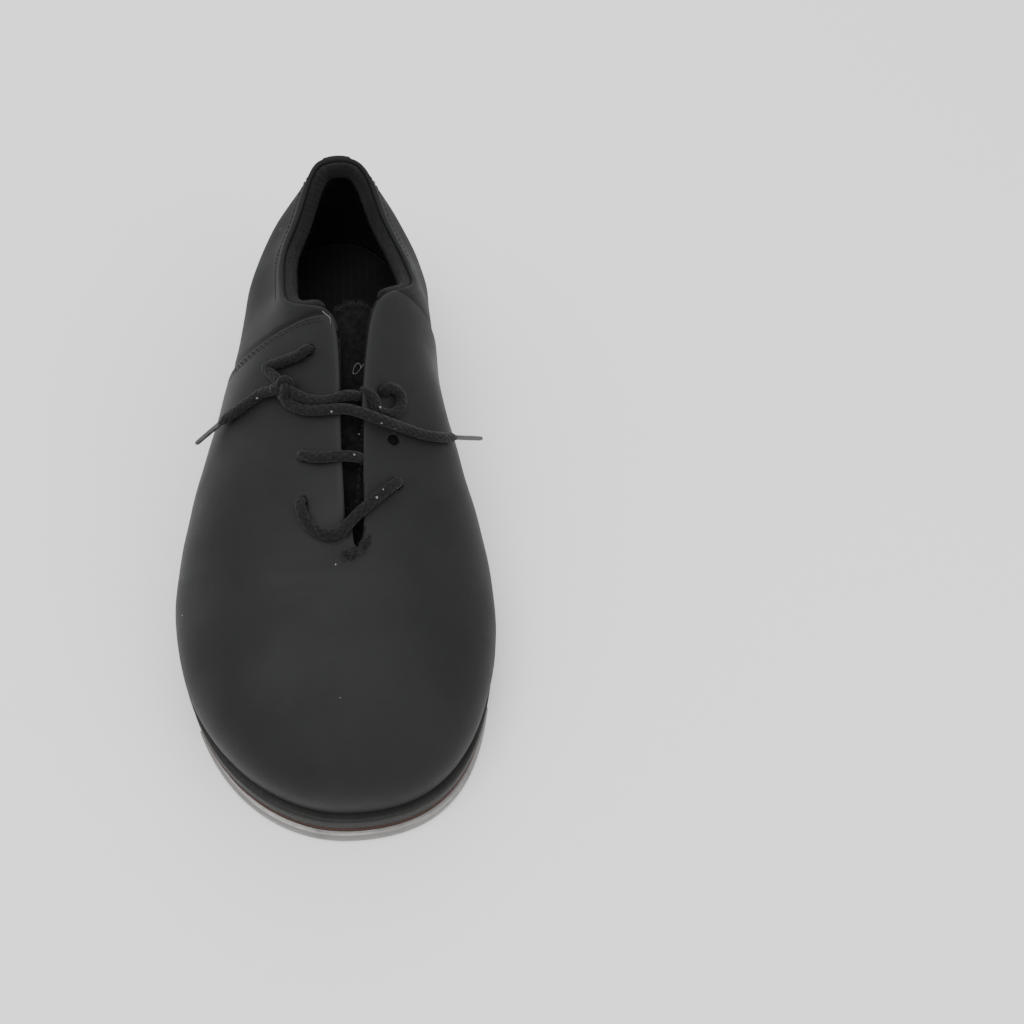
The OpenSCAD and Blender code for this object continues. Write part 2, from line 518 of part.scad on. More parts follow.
toe_tap();
toe_tap_screws();
toe_sound_board();
outsole_forepart();
insole_board_forepart();
sock_liner_forepart();
vamp_toe();
toe_puff();
vamp_lining_toe();
vamp_crease();
lining_crease();
outsole_rear();
shank();
insole_board_rear();
sock_liner_rear();
heel_block();
heel_board();
heel_tap();
heel_tap_screws();
vamp_instep();
vamp_lining_instep();
quarter_medial();
quarter_lateral();
back_strip();
heel_counter();
quarter_lining();
collar_foam();
collar_binding();
tongue();
bar_tack();
lace();
lace_end_lateral();
lace_end_medial();
aglet_lateral();
aglet_medial();
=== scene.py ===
from math import cos, pi, sin, tau

import bmesh
import bpy
import numpy as np
from mathutils import Matrix, Vector


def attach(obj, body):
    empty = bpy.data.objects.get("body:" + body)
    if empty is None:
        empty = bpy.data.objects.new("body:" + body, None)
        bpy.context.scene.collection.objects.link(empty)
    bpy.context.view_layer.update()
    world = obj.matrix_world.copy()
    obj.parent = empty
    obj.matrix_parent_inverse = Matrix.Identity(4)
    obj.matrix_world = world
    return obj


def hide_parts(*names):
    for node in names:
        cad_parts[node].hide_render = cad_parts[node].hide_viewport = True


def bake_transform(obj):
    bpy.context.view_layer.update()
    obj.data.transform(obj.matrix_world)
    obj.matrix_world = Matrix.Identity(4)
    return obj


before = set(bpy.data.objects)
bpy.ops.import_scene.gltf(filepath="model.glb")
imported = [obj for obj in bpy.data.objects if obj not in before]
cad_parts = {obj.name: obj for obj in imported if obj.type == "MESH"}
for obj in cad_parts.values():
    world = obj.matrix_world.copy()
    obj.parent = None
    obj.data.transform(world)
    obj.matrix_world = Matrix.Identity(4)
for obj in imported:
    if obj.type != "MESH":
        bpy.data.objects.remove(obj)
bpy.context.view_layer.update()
MM = 0.001

# ---------------------------------------------------------------- sizes, in millimetres
SHOE_LEN = 255.0
MID = SHOE_LEN / 2
TAP_T, BOARD_T, OUTSOLE_T, HEEL_RISE = 4.5, 2.5, 6.5, 12.5
TREAD_Z = TAP_T + BOARD_T + OUTSOLE_T
CORE_Z = TREAD_Z - OUTSOLE_T
TAP_EXT, TAP_LIP, OUTSOLE_EXT, TOE_LIP = 1.0, 4.0, 0.8, 2.2
TAP_LEN, HEEL_LEN = 58.0, 66.0
TAP_R = 1.4 * TAP_LEN
HEEL_Y = SHOE_LEN - HEEL_LEN - MID
CENTRE_X = 4.0
VAMP_T, QUARTER_T, PLY = 1.4, 1.3, 0.25
LINING_T, QUARTER_LINING_T, COUNTER_T, PUFF_T = 1.9, 0.8, 1.1, 0.7
INSTEP_PAD, LINING_BACK, TUCK = 0.8, 0.75, 0.5
ROLL_D, TONGUE_T, HOLE_D = 6.0, 2.4, 4.4
LACE_D, AGLET_D = 3.6, 1.9
LATERAL_LACE, MEDIAL_LACE = 32.2, 77.8
SCREW_D, SCREW_LEN, HEAD_D, HEAD_H, HEAD_SINK = 3.0, 6.8, 6.6, 2.4, 0.3
ROLL_V, ROLL_IN = 0.97, VAMP_T + QUARTER_T + 0.1 + ROLL_D / 2
TONGUE_FROM, TONGUE_TO, ARCH_AT, ARCH_R = 76.5, 167.5, 157, 10.6
COUNTER_FROM, FLOOR_HALF = 11.4, 4000

# Stations from the toe round to the heel: distance from the toe, half widths, the slit or
# collar edge, and how the wall leans and the top runs in.
STATIONS = np.array([
    [2, 4, 4, 4, 4, 84.5, 84.5, 42, 7, 28, 0, -48, -9],
    [4, 23, -11, 5, 4.2, 85, 84.5, 42.2, 7, 28, 15, -43, -9],
    [14, 38, -29.5, 6, 3.4, 86.5, 85.5, 42.8, 7, 28, 29, -31, -9],
    [34, 49, -46, 7.3, 3, 90.5, 89, 44.9, 6, 26, 35, -16, -9],
    [58, 54.5, -54.5, 8.5, 2.8, 100, 97.5, 47.9, 6, 24, 34, -7, -9],
    [82, 54.5, -56.5, 10, 2.4, 115, 112, 51.2, 6, 23, 29, 0, -9],
    [105, 50, -54, 12, 2.4, 135, 131.5, 54.5, 6, 24, 25, 0, -11],
    [127, 43.5, -49, 14.2, 2.6, 153.5, 150, 58.3, 6, 26, 21, 4, -12],
    [146, 39.5, -44, 17.5, 0, 165, 160.5, 60, 5, 28, 17, 2, -12],
    [161, 38.5, -40.5, 26, -10.5, 171, 164, 56.5, 5, 28, 10, 0, -14],
    [176, 37, -37.5, 33.5, -19, 181, 174, 47.5, 5, 24, 5, 0, -15],
    [194, 36, -35, 32.5, -19.5, 196, 192, 39, 6, 19, 5, 0, -14],
    [211, 36.5, -32.5, 29, -20.5, 213, 210.5, 36, 8, 18, 7, 0, -14],
    [228, 34.5, -29, 22, -14, 230, 227.5, 37, 8, 20, 7, 1, -16],
    [244, 25, -22, 17.5, -9, 243.5, 241, 48.5, 8, 23, 8, 3, -19],
    [252, 14.5, -8.5, 11, -4.5, 249, 247.5, 50.5, 6, 25, 5, 4, -22],
    [254, 3, 3, 3.3, 3.3, 250, 250, 50, 5, 26, 0, 4, -22]], float)
HEEL = len(STATIONS) - 1
TURN = 2 * HEEL

# Lace points [u, v, height over the leather]; from v = 1 to 2 a point crosses the slit.
LOWER_BAR = [[-4.1, 0.86, -4.6], [-4.1, 0.86, 0.9], [-3.76, 0.87, 2.4], [-3.34, 0.89, 2.3],
             [-2.88, 0.92, 2.2], [-2.42, 0.95, 2.2], [-2.04, 0.99, 2.4], [2.5, 1, 2.6],
             [3.28, 0.97, 2.4], [3.78, 0.93, 2.2], [4.12, 0.89, 2.2], [4.33, 0.86, 0.9],
             [4.33, 0.86, -4.6]]
MIDDLE_BAR = [[-5.05, 0.86, -4.6], [-5.05, 0.86, 0.9], [-4.88, 0.905, 2.2], [-4.8, 0.945, 2.2],
              [-4.74, 0.995, 2.2], [4.65, 1.5, 2], [4.58, 0.995, -1], [4.6, 0.965, -4.5]]
UPPER_STRAND = [[-7.05, 0.86, -4.6], [-7.05, 0.86, 0.9], [-6.96, 0.835, 2.4],
                [-7.02, 0.785, 2.1], [-7.1, 0.735, 2.1], [-7.2, 0.685, 2.2],
                [-7.18, 0.67, 2.4], [-6.98, 0.695, 2.5], [-6.68, 0.74, 2.8],
                [-6.46, 0.775, 3.2]]
CROSS_STRAND = [[-6.34, 0.795, 3.4], [-6.14, 0.84, 2.8], [-5.98, 0.885, 2.4],
                [-5.86, 0.94, 2.2], [-5.82, 0.985, 2.2], [5.83, 1.8, 2.4], [5.83, 1.525, 1],
                [5.8, 1.15, -2.5], [5.8, 0.99, -4.2]]
LACE_LOOP = [[5.92, 0.985, -3.6], [5.82, 0.985, 0.6], [5.68, 0.965, 2], [5.52, 0.945, 2.1],
             [5.52, 0.9, 2.1], [5.66, 0.86, 2.1], [5.88, 0.84, 2.2], [6, 0.86, 2.4],
             [5.98, 0.905, 2.8], [5.93, 0.915, 0.9], [5.93, 0.915, -4.6]]
LATERAL_END = [[-6.4, 0.775, 3.4], [-6.54, 0.72, 3], [-6.7, 0.655, 2.2], [-6.76, 0.595, 2.1],
               [-6.84, 0.525, 2.1], [-6.98, 0.44, 1.9], [-7.04, 0.41, 1.9]]
MEDIAL_END = [[-6.4, 0.775, 3.4], [-6.16, 0.79, 3], [-5.92, 0.84, 2.4], [-5.76, 0.9, 2.2],
              [-5.66, 0.97, 2.4], [5.55, 1.625, 3.8], [5.33, 1.05, 5.8], [5.28, 0.925, 5.6],
              [5.38, 0.835, 3], [5.54, 0.735, 2.1], [5.82, 0.63, 2], [6.34, 0.48, 2]]
LATERAL_AGLET, MEDIAL_AGLET = (-0.77, -0.38, -0.51), (0.87, 0.25, -0.42)
HOLES = [(4.33, 0.86), (5.15, 0.87), (5.93, 0.915),
         (-4.1, 0.86), (-5.05, 0.86), (-6.05, 0.86), (-7.05, 0.86)]
SLOT = [(8.5, -3), (7, -12), (6, -22), (5.5, -32), (5.5, -38), (6, -42.3), (6.4, -46.2),
        (6.9, -47.7), (7.5, -48.2), (8.1, -47.8), (8.8, -46.4), (9.7, -42.4), (10.1, -37.9),
        (10.15, -32.5), (10.3, -24), (10.6, -15), (11, -3)]
TOE_SCREWS = [(CENTRE_X, 15 - MID), (CENTRE_X - 30, 38 - MID), (CENTRE_X + 30, 38 - MID)]
HEEL_SCREWS = [(CENTRE_X - 1, MID - 10), (CENTRE_X - 20, MID - 38), (CENTRE_X + 19, MID - 38)]


# ---------------------------------------------------------------- camera and lights
def put(name, data):
    piece = bpy.data.objects.new(name, data)
    bpy.context.scene.collection.objects.link(piece)
    return piece


CAM_AT = Vector((11.375, -251.588, 384.159)) * MM
CAM_PITCH, CAM_YAW, CAM_ROLL = 0.97979, 0.22498, 0.156008
SENSOR_W, LENS_RATIO = 36, 1150 / 1024


def aim_camera():
    ahead = Vector((sin(CAM_YAW) * cos(CAM_PITCH), cos(CAM_YAW) * cos(CAM_PITCH),
                    -sin(CAM_PITCH)))
    side = Vector((cos(CAM_YAW), -sin(CAM_YAW), 0))
    top = side.cross(ahead)
    right = cos(CAM_ROLL) * side + sin(CAM_ROLL) * top
    up = -sin(CAM_ROLL) * side + cos(CAM_ROLL) * top
    data = bpy.data.cameras.new("camera")
    data.sensor_width = SENSOR_W
    data.lens = SENSOR_W * LENS_RATIO
    data.clip_start = 0.01
    cam = put("camera", data)
    turn = Matrix((right, up, -ahead)).transposed().to_4x4()
    cam.matrix_world = Matrix.Translation(CAM_AT) @ turn
    bpy.context.scene.camera = cam


def area_light(name, at, target, size, watts):
    data = bpy.data.lights.new(name, "AREA")
    data.shape, data.size, data.energy = "DISK", size, watts
    lamp = put(name, data)
    lamp.location = at
    lamp.rotation_euler = (Vector(target) - Vector(at)).to_track_quat("-Z", "Y").to_euler()


aim_camera()
area_light("key", (-0.3, -0.3, 1.25), (0, -0.02, 0.03), 1.0, 9)
area_light("fill", (0.95, -0.75, 0.8), (0, 0, 0.03), 0.9, 4)
area_light("back", (0.1, 1.1, 0.75), (0, 0.05, 0.05), 0.8, 3)
world = bpy.data.worlds.new("studio")
bpy.context.scene.world = world
world.use_nodes = True
sky = world.node_tree.nodes["Background"].inputs
sky["Color"].default_value = (1, 1, 1, 1)
sky["Strength"].default_value = 1.15


# ---------------------------------------------------------------- the upper's surface
def smooth(t):
    c = np.clip(t, 0, 1)
    return c * c * (3 - 2 * c)


def ramp(a, b, t):
    return a + (b - a) * t


def unit(a):
    return a / np.maximum(np.linalg.norm(a, axis=-1, keepdims=True), 1e-12)


def feather_z(s):
    return TREAD_Z + HEEL_RISE * smooth((np.asarray(s, float) - 85) / 105)


def control_rows():
    rows = []
    feather = []
    for k in range(TURN):
        m = STATIONS[k if k <= HEEL else TURN - k]
        feather.append([m[1 if k <= HEEL else 2], m[0] - MID, float(feather_z(m[0]))])
    feather = np.array(feather)
    for k in range(TURN):
        inner = k <= HEEL
        m = STATIONS[k if inner else TURN - k]
        t = feather[(k + 1) % TURN] - feather[k - 1]
        out = np.array([t[1], -t[0], 0]) / np.hypot(t[0], t[1])
        s = m[5 if inner else 6]
        edge = np.array([m[3 if inner else 4], s - MID, float(feather_z(s)) + m[7]])
        run = np.array([(1 if inner else -1) * m[10], m[11], m[12]])
        rows.append([feather[k], feather[k] + m[8] * out + [0, 0, m[9]], edge + run, edge])
    return np.array(rows)


ROWS = control_rows()


def weights(t, rate=False):
    if rate:
        return np.stack([-(1 - t) ** 2, 3*t*t - 4*t, -3*t*t + 2*t + 1, t*t], -1) / 2
    return np.stack([(1 - t) ** 3, 3*t**3 - 6*t*t + 4, -3*t**3 + 3*t*t + 3*t + 1, t**3],
                    -1) / 6


def ribs(u, rate=False):
    k = np.floor(u).astype(int)
    w = weights(u - k, rate)
    return sum(w[..., a, None, None] * ROWS[(k - 1 + a) % TURN] for a in range(4))


def skin(u, v, d=0.0):
    u, v, d = np.broadcast_arrays(np.asarray(u, float), np.asarray(v, float),
                                  np.asarray(d, float))
    q, r = ribs(u), ribs(u, True)
    w = 1 - v
    up = np.stack([w**3, 3*w*w*v, 3*w*v*v, v**3], -1)[..., None]
    point, along = (up * q).sum(-2), (up * r).sum(-2)
    rise = 3 * ((w*w)[..., None] * (q[..., 1, :] - q[..., 0, :])
                + (2*w*v)[..., None] * (q[..., 2, :] - q[..., 1, :])
                + (v*v)[..., None] * (q[..., 3, :] - q[..., 2, :]))
    return point - d[..., None] * unit(np.cross(along, rise))


def over(p):
    u, v, h = p
    if v <= 1:
        return skin(u, v, -h)
    return ramp(skin(u, 1.0, -h), skin(-u, 1.0, -h), v - 1)


def out_of(p):
    u, v, _ = p
    if v <= 1:
        return skin(u, v, -1) - skin(u, v, 0)
    return unit(skin(u, 1.0, -1) - skin(u, 1.0, 0) + skin(-u, 1.0, -1) - skin(-u, 1.0, 0))


def seam_u(v, side):
    return 9.9 - 0.95 * v - 0.15 * v**8 if side > 0 else 9.55 - 1.35 * v - 0.4 * v**8


def outline(u, d, lip=0.0):
    """Feather line in plan, moved out by d, and by lip more at the toe."""
    q, t = ribs(u)[..., 0, :], ribs(u, True)[..., 0, :]
    out = unit(np.stack([t[..., 1], -t[..., 0]], -1))
    far = d + lip * smooth(1 - (q[..., 1] + MID) / 52)
    return q[..., :2] + far[..., None] * out


# ---------------------------------------------------------------- meshes
RIM_ROUND = 0.45  # how far a cut edge bulges, as a share of the thickness


def lay_mesh(name, points, faces, material, uv=None, values=None):
    mesh = bpy.data.meshes.new(name)
    mesh.from_pydata((np.asarray(points) * MM).tolist(), [], faces)
    if uv is not None:
        index = np.zeros(len(mesh.loops), np.int32)
        mesh.loops.foreach_get("vertex_index", index)
        layer = mesh.uv_layers.new(name="cloth")
        layer.data.foreach_set("uv", (np.asarray(uv)[index] * MM).ravel().astype(np.float32))
    for key, value in (values or {}).items():
        mesh.attributes.new(key, "FLOAT", "POINT").data.foreach_set(
            "value", np.asarray(value, np.float32))
    piece = put(name, mesh)
    bm = bmesh.new()
    bm.from_mesh(mesh)
    bmesh.ops.remove_doubles(bm, verts=bm.verts, dist=2e-6)
    bmesh.ops.recalc_face_normals(bm, faces=bm.faces)
    bm.to_mesh(mesh)
    bm.free()
    mesh.shade_smooth()
    mesh.materials.append(material)
    return piece


def grid_faces(m, n, start=0, turn=False):
    a = start + (np.arange(m - 1)[:, None] * n + np.arange(n - 1)[None]).ravel()
    quad = np.stack([a, a + n, a + n + 1, a + 1], -1)
    return (quad[:, ::-1] if turn else quad).tolist()


def ring_faces(m, count):
    """Quads between rings of m points that follow each other."""
    faces = []
    for k in range(count - 1):
        low = k * m + np.arange(m)
        nxt = k * m + (np.arange(m) + 1) % m
        faces += np.stack([low, nxt, nxt + m, low + m], -1).tolist()
    return faces


def rim_of(m, n):
    """Indices round a grid's border, and each one's neighbour inside."""
    border = [(0, j) for j in range(n)] + [(i, n - 1) for i in range(1, m)] \
        + [(m - 1, j) for j in range(n - 2, -1, -1)] + [(i, 0) for i in range(m - 2, 0, -1)]
    inner = [(min(max(i, 1), m - 2), min(max(j, 1), n - 2)) for i, j in border]
    return (np.array([i * n + j for i, j in border]), np.array([i * n + j for i, j in inner]))


def closed_shell(name, top, bottom, material):
    """A sheet with a rounded rim between two grids of points."""
    m, n = top.shape[:2]
    p, q = top.reshape(-1, 3), bottom.reshape(-1, 3)
    rim, inner = rim_of(m, n)
    lean = unit(p[rim] - p[inner]) * np.linalg.norm(p[rim] - q[rim], axis=1)[:, None]
    rings = [ramp(p[rim], q[rim], f) + lean * RIM_ROUND * sin(pi * f)
             for f in (0.12, 0.32, 0.5, 0.68, 0.88)]
    base, count = 2 * m * n, len(rim)
    faces = grid_faces(m, n) + grid_faces(m, n, m * n, True)
    chain = [rim] + [base + k * count + np.arange(count) for k in range(5)] + [m * n + rim]
    for a, b in zip(chain, chain[1:]):
        faces += np.stack([a, b, np.roll(b, -1), np.roll(a, -1)], -1).tolist()
    gap = np.full(len(p), 99.0)
    for k in range(0, len(p), 4000):
        gap[k:k + 4000] = np.linalg.norm(p[k:k + 4000, None] - p[None, rim], axis=2).min(1)
    # Nearness to the rim, 1 on the rim rings; the leathers paint their rims lighter with it, a
    # painted highlight, and make them rougher
    edge = np.concatenate([np.exp(-gap / 1.6)] * 2 + [np.ones(5 * count)])
    along = np.r_[np.zeros((1, n)), np.linalg.norm(np.diff(top, axis=0), axis=2).cumsum(0)]
    rise = np.c_[np.zeros((m, 1)), np.linalg.norm(np.diff(top, axis=1), axis=2).cumsum(1)]
    uv = np.stack([along.mean(1)[:, None] + 0 * rise, rise], -1).reshape(-1, 2)
    return lay_mesh(name, np.r_[p, q, np.concatenate(rings)], faces, material,
                    np.r_[uv, uv, np.tile(uv[rim], (5, 1))], {"edge": edge})


def through(points, n):
    p = np.asarray(points, float)
    p = np.r_[p[:1], p, p[-1:]]
    t = (np.arange(n) / n)[:, None]
    rows = [(2*p[i+1] + (p[i+2] - p[i])*t + (2*p[i] - 5*p[i+1] + 4*p[i+2] - p[i+3])*t*t
             + (3*p[i+1] - p[i] - 3*p[i+2] + p[i+3])*t**3) / 2 for i in range(len(p) - 3)]
    return np.concatenate(rows + [p[-1:]])


def even(line, ups, step):
    """The same line with points a step apart."""
    run = np.r_[0, np.linalg.norm(np.diff(line, axis=0), axis=1).cumsum()]
    at = np.linspace(0, run[-1], max(4, int(run[-1] / step)) + 1)
    pick = lambda a: np.stack([np.interp(at, run, a[:, k]) for k in range(3)], -1)
    return pick(line), unit(pick(ups))


# ---------------------------------------------------------------- node trees
class Board:
    """Short calls for laying nodes in one tree."""

    def __init__(self, tree):
        self.tree = tree

    def link(self, a, b):
        self.tree.links.new(a, b)

    def feed(self, socket, value):
        if isinstance(value, bpy.types.NodeSocket):
            self.link(value, socket)
        else:
            socket.default_value = value

    def add(self, kind, feeds=None, **settings):
        node = self.tree.nodes.new(kind)
        for key, value in settings.items():
            setattr(node, key, value)
        for key, value in (feeds or {}).items():
            self.feed(node.inputs[key], value)
        return node

    def close(self, made, *values):
        for socket, value in zip(made, values):
            self.link(value, socket)
        return self.tree

    def use(self, group, **values):
        return self.add("ShaderNodeGroup", {key.replace("_", " "): value
                                            for key, value in values.items()},
                        node_tree=group).outputs

    def math(self, operation, a, b=0.0, c=0.0):
        return self.add("ShaderNodeMath", {0: a, 1: b, 2: c}, operation=operation).outputs[0]

    def times(self, a, b):
        return self.math("MULTIPLY", a, b)

    def noise(self, vector, scale, detail=3.0, rough=0.55):
        return self.add("ShaderNodeTexNoise", {
            "Vector": vector, "Scale": scale, "Detail": detail,
            "Roughness": rough}).outputs["Fac"]

    def cells(self, vector, scale):
        return self.add("ShaderNodeTexVoronoi", {"Vector": vector, "Scale": scale}).outputs

    def range(self, value, low, high, to_low=0.0, to_high=1.0):
        return self.add("ShaderNodeMapRange", {
            "Value": value, "From Min": low, "From Max": high, "To Min": to_low,
            "To Max": to_high}).outputs[0]

    def mix(self, fac, a, b):
        tint = lambda c: (*c, 1) if isinstance(c, tuple) else c
        return self.add("ShaderNodeMix", {"Factor": fac, 6: tint(a), 7: tint(b)},
                        data_type="RGBA").outputs[2]

    def axes(self, vector):
        return self.add("ShaderNodeSeparateXYZ", {0: vector}).outputs

    def vector(self, x, y, z):
        return self.add("ShaderNodeCombineXYZ", {0: x, 1: y, 2: z}).outputs[0]

    def around(self):
        return self.add("ShaderNodeTexCoord").outputs["Object"]

    def cloth_map(self):
        return self.add("ShaderNodeUVMap", uv_map="cloth").outputs[0]

    def squeezed(self, vector, scale):
        return self.add("ShaderNodeMapping", {"Vector": vector, "Scale": scale}).outputs[0]


def new_tree(kind, name, takes, gives, gives_kind="Float"):
    """A tree and its sockets. takes pairs each input with its first value, or with the kind
    of its socket where it has none."""
    tree = bpy.data.node_groups.new(name, kind + "NodeTree")
    for key, value in takes.items():
        bare = isinstance(value, str)
        socket = tree.interface.new_socket(
            key, in_out="INPUT",
            socket_type="NodeSocket" + (value if bare else type(value).__name__.capitalize()))
        if not bare:
            socket.default_value = value
    for key in gives:
        tree.interface.new_socket(key, in_out="OUTPUT", socket_type="NodeSocket" + gives_kind)
    return (Board(tree), tree.nodes.new("NodeGroupInput").outputs,
            tree.nodes.new("NodeGroupOutput").inputs)


def leather_grain():
    """Pebbled grain with fine pores, and a slow change of tone over the hide."""
    b, given, made = new_tree("Shader", "leather_grain", {
        "Vector": "Vector", "Pebble scale": 900.0, "Pore depth": 0.35},
        ("Height", "Tone", "Handling"))
    at, scale = given["Vector"], given["Pebble scale"]
    warp = b.noise(at, b.times(scale, 0.45), 2)
    shift = b.add("ShaderNodeVectorMath", {0: warp, 1: (0.0009, 0.0009, 0.0009), 2: at},
                  operation="MULTIPLY_ADD")
    pebble = b.math("SMOOTH_MIN", b.cells(shift.outputs[0], scale)["Distance"], 0.62, 0.25)
    pores = b.range(b.noise(at, b.times(scale, 3.1), 1), 0.58, 0.7)
    height = b.math("SUBTRACT", b.times(pebble, -0.7), b.times(pores, given["Pore depth"]))
    return b.close(made, height, b.range(b.noise(at, 28.0, 4), 0.3, 0.7),
                   b.range(b.noise(at, 11.0, 5, 0.65), 0.42, 0.66))


def lint_specks():
    """Sparse pale specks of dust."""
    b, given, made = new_tree("Shader", "lint_specks", {
        "Vector": "Vector", "Speck scale": 240.0, "Size": 0.06, "Amount": 0.3}, ("Mask",))
    cell = b.cells(given["Vector"], given["Speck scale"])
    chance = b.add("ShaderNodeSeparateColor", {0: cell["Color"]}).outputs
    kept = b.math("LESS_THAN", chance[0], given["Amount"])
    spot = b.math("LESS_THAN", cell["Distance"],
                  b.times(given["Size"], b.math("ADD", chance[1], 0.4)))
    return b.close(made, b.times(kept, spot))


def cord_braid():
    """Braided plaits on a round cord, from its own map: x round the cord, y along it."""
    b, given, made = new_tree("Shader", "cord_braid", {
        "Map": "Vector", "Plaits round": 6.0, "Plait length": 0.0031}, ("Height", "Gap"))
    x, y, _ = b.axes(given["Map"])
    turns = b.times(x, given["Plaits round"])
    run = b.math("DIVIDE", y, given["Plait length"])
    left = b.math("PINGPONG", b.math("ADD", turns, run), 0.5)
    right = b.math("PINGPONG", b.math("SUBTRACT", turns, run), 0.5)
    return b.close(made, b.math("SMOOTH_MAX", left, right, 0.15),
                   b.range(b.math("MINIMUM", left, right), 0.0, 0.16, 1.0, 0.0))


def cloth_weave():
    """Plain weave from the piece's own map."""
    b, given, made = new_tree("Shader", "cloth_weave", {
        "Map": "Vector", "Threads per metre": 1400.0}, ("Height", "Fibre"))
    x, y, _ = b.axes(given["Map"])
    threads = given["Threads per metre"]
    waves = []
    for along, across in ((x, y), (y, x)):
        over_under = b.math("SINE", b.times(across, b.times(threads, pi / 2)))
        waves.append(b.times(
            b.math("ABSOLUTE", b.math("SINE", b.times(along, b.times(threads, pi)))),
            b.math("ADD", b.times(over_under, 0.5), 0.6)))
    return b.close(made, b.math("MAXIMUM", *waves), b.noise(given["Map"], 2600.0, 3))


GRAIN, SPECKS, BRAID, WEAVE = leather_grain(), lint_specks(), cord_braid(), cloth_weave()


# ---------------------------------------------------------------- materials
def start(name, **constants):
    """A new material; its constants sit on the shader's own sockets."""
    material = bpy.data.materials.new(name)
    material.use_nodes = True
    shader = material.node_tree.nodes["Principled BSDF"].inputs
    for key, value in constants.items():
        shader[key.replace("_", " ")].default_value = value
    return material, Board(material.node_tree), shader


def dress(material, b, shader, colour, height, strength, distance, rough=None):
    """Joins colour, bump and roughness to the shader."""
    b.link(colour, shader["Base Color"])
    if rough is not None:
        b.link(rough, shader["Roughness"])
    bump = b.add("ShaderNodeBump", {"Strength": strength, "Distance": distance,
                                    "Height": height})
    b.link(bump.outputs[0], shader["Normal"])
    return material


def leather(name, dark, pale, rough=(0.5, 0.64)):
    material, b, shader = start(name, Specular_IOR_Level=0.14)
    at = b.around()
    grain = b.use(GRAIN, Vector=at)
    specks = b.use(SPECKS, Vector=at, Speck_scale=190.0, Size=0.035, Amount=0.2)
    edge = b.add("ShaderNodeAttribute", attribute_name="edge").outputs["Fac"]
    hide = b.mix(b.times(grain["Tone"], 0.8), dark, pale)
    # Every cut edge is painted lighter here: a painted highlight along the rims
    wear_and_rim_highlight = b.mix(b.times(edge, 0.5), hide, tuple(1.7 * c for c in pale))
    colour = b.mix(b.times(specks["Mask"], 0.75), wear_and_rim_highlight, (0.42, 0.42, 0.41))
    sheen = b.math("ADD", b.range(grain["Handling"], 0, 1, *rough), b.times(edge, 0.12))
    return dress(material, b, shader, colour, grain["Height"], 0.5, 0.00009, sheen)


def cloth(name, dark, pale, threads, rough=0.9, fuzz=0.35, depth=0.00012, dust=0.0):
    material, b, shader = start(name, Roughness=rough, Sheen_Weight=fuzz,
                                Sheen_Roughness=0.5, Specular_IOR_Level=0.2)
    weave = b.use(WEAVE, Map=b.cloth_map(), Threads_per_metre=threads)
    at = b.around()
    slow = b.range(b.noise(at, 60.0, 4), 0.35, 0.65)
    # Thread crowns are painted paler and the dips between the threads darker: painted shade in
    # the weave
    thread = b.mix(b.times(weave["Height"], b.math("ADD", slow, 0.3)), dark, pale)
    specks = b.use(SPECKS, Vector=at, Speck_scale=330.0, Size=0.09, Amount=dust)
    return dress(material, b, shader, b.mix(specks["Mask"], thread, (0.4, 0.4, 0.39)),
                 b.math("ADD", weave["Height"], weave["Fibre"]), 0.7, depth)


def nap(name, dark, pale):
    """Leather turned flesh side out: a short, clumped nap."""
    material, b, shader = start(name, Roughness=0.95, Sheen_Weight=0.06,
                                Sheen_Roughness=0.5, Specular_IOR_Level=0.1)
    at = b.around()
    clump = b.range(b.noise(at, 420.0, 4, 0.6), 0.35, 0.65)
    hair = b.noise(at, 2400.0, 3)
    specks = b.use(SPECKS, Vector=at, Speck_scale=330.0, Size=0.07, Amount=0.06)
    colour = b.mix(specks["Mask"], b.mix(clump, dark, pale), (0.35, 0.35, 0.34))
    return dress(material, b, shader, colour, b.math("ADD", hair, b.times(clump, 0.6)), 0.8,
                 0.00025)


def braided_lace():
    material, b, shader = start("braided_lace", Roughness=0.85, Sheen_Weight=0.06,
                                Specular_IOR_Level=0.18)
    braid = b.use(BRAID, Map=b.cloth_map())
    at = b.around()
    fray = b.range(b.noise(at, 900.0, 4), 0.35, 0.75)
    plait = b.mix(fray, (0.0035, 0.0036, 0.0038), (0.013, 0.0133, 0.0138))
    # The grooves between the plaits are painted near black: painted shade in the grooves
    deep = b.mix(b.times(braid["Gap"], 0.7), plait, (0.0012, 0.0012, 0.0014))
    specks = b.use(SPECKS, Vector=at, Speck_scale=420.0, Size=0.16, Amount=0.12)
    colour = b.mix(b.times(specks["Mask"], 0.5), deep, (0.3, 0.3, 0.29))
    return dress(material, b, shader, colour,
                 b.math("ADD", braid["Height"], b.times(fray, 0.3)), 0.9, 0.0005)


def ground_edge(name, dark, pale, stretch, rough, layers=0.0):
    """Leather or fibre cut and ground at its edge, with faint level streaks."""
    material, b, shader = start(name, Specular_IOR_Level=0.35)
    at = b.around()
    streak = b.noise(b.squeezed(at, (1, 1, stretch)), 130.0, 5, 0.6)
    fine = b.noise(at, 1500.0, 3)
    height = b.math("ADD", streak, b.times(fine, 0.4))
    if layers:
        step = b.math("PINGPONG", b.math("DIVIDE", b.axes(at)[2], layers), 0.5)
        height = b.math("ADD", height, b.range(step, 0.0, 0.07, -1.2, 0.0))
    return dress(material, b, shader, b.mix(b.range(streak, 0.36, 0.64), dark, pale), height,
                 0.5, 0.00016, b.range(fine, 0.3, 0.7, *rough))


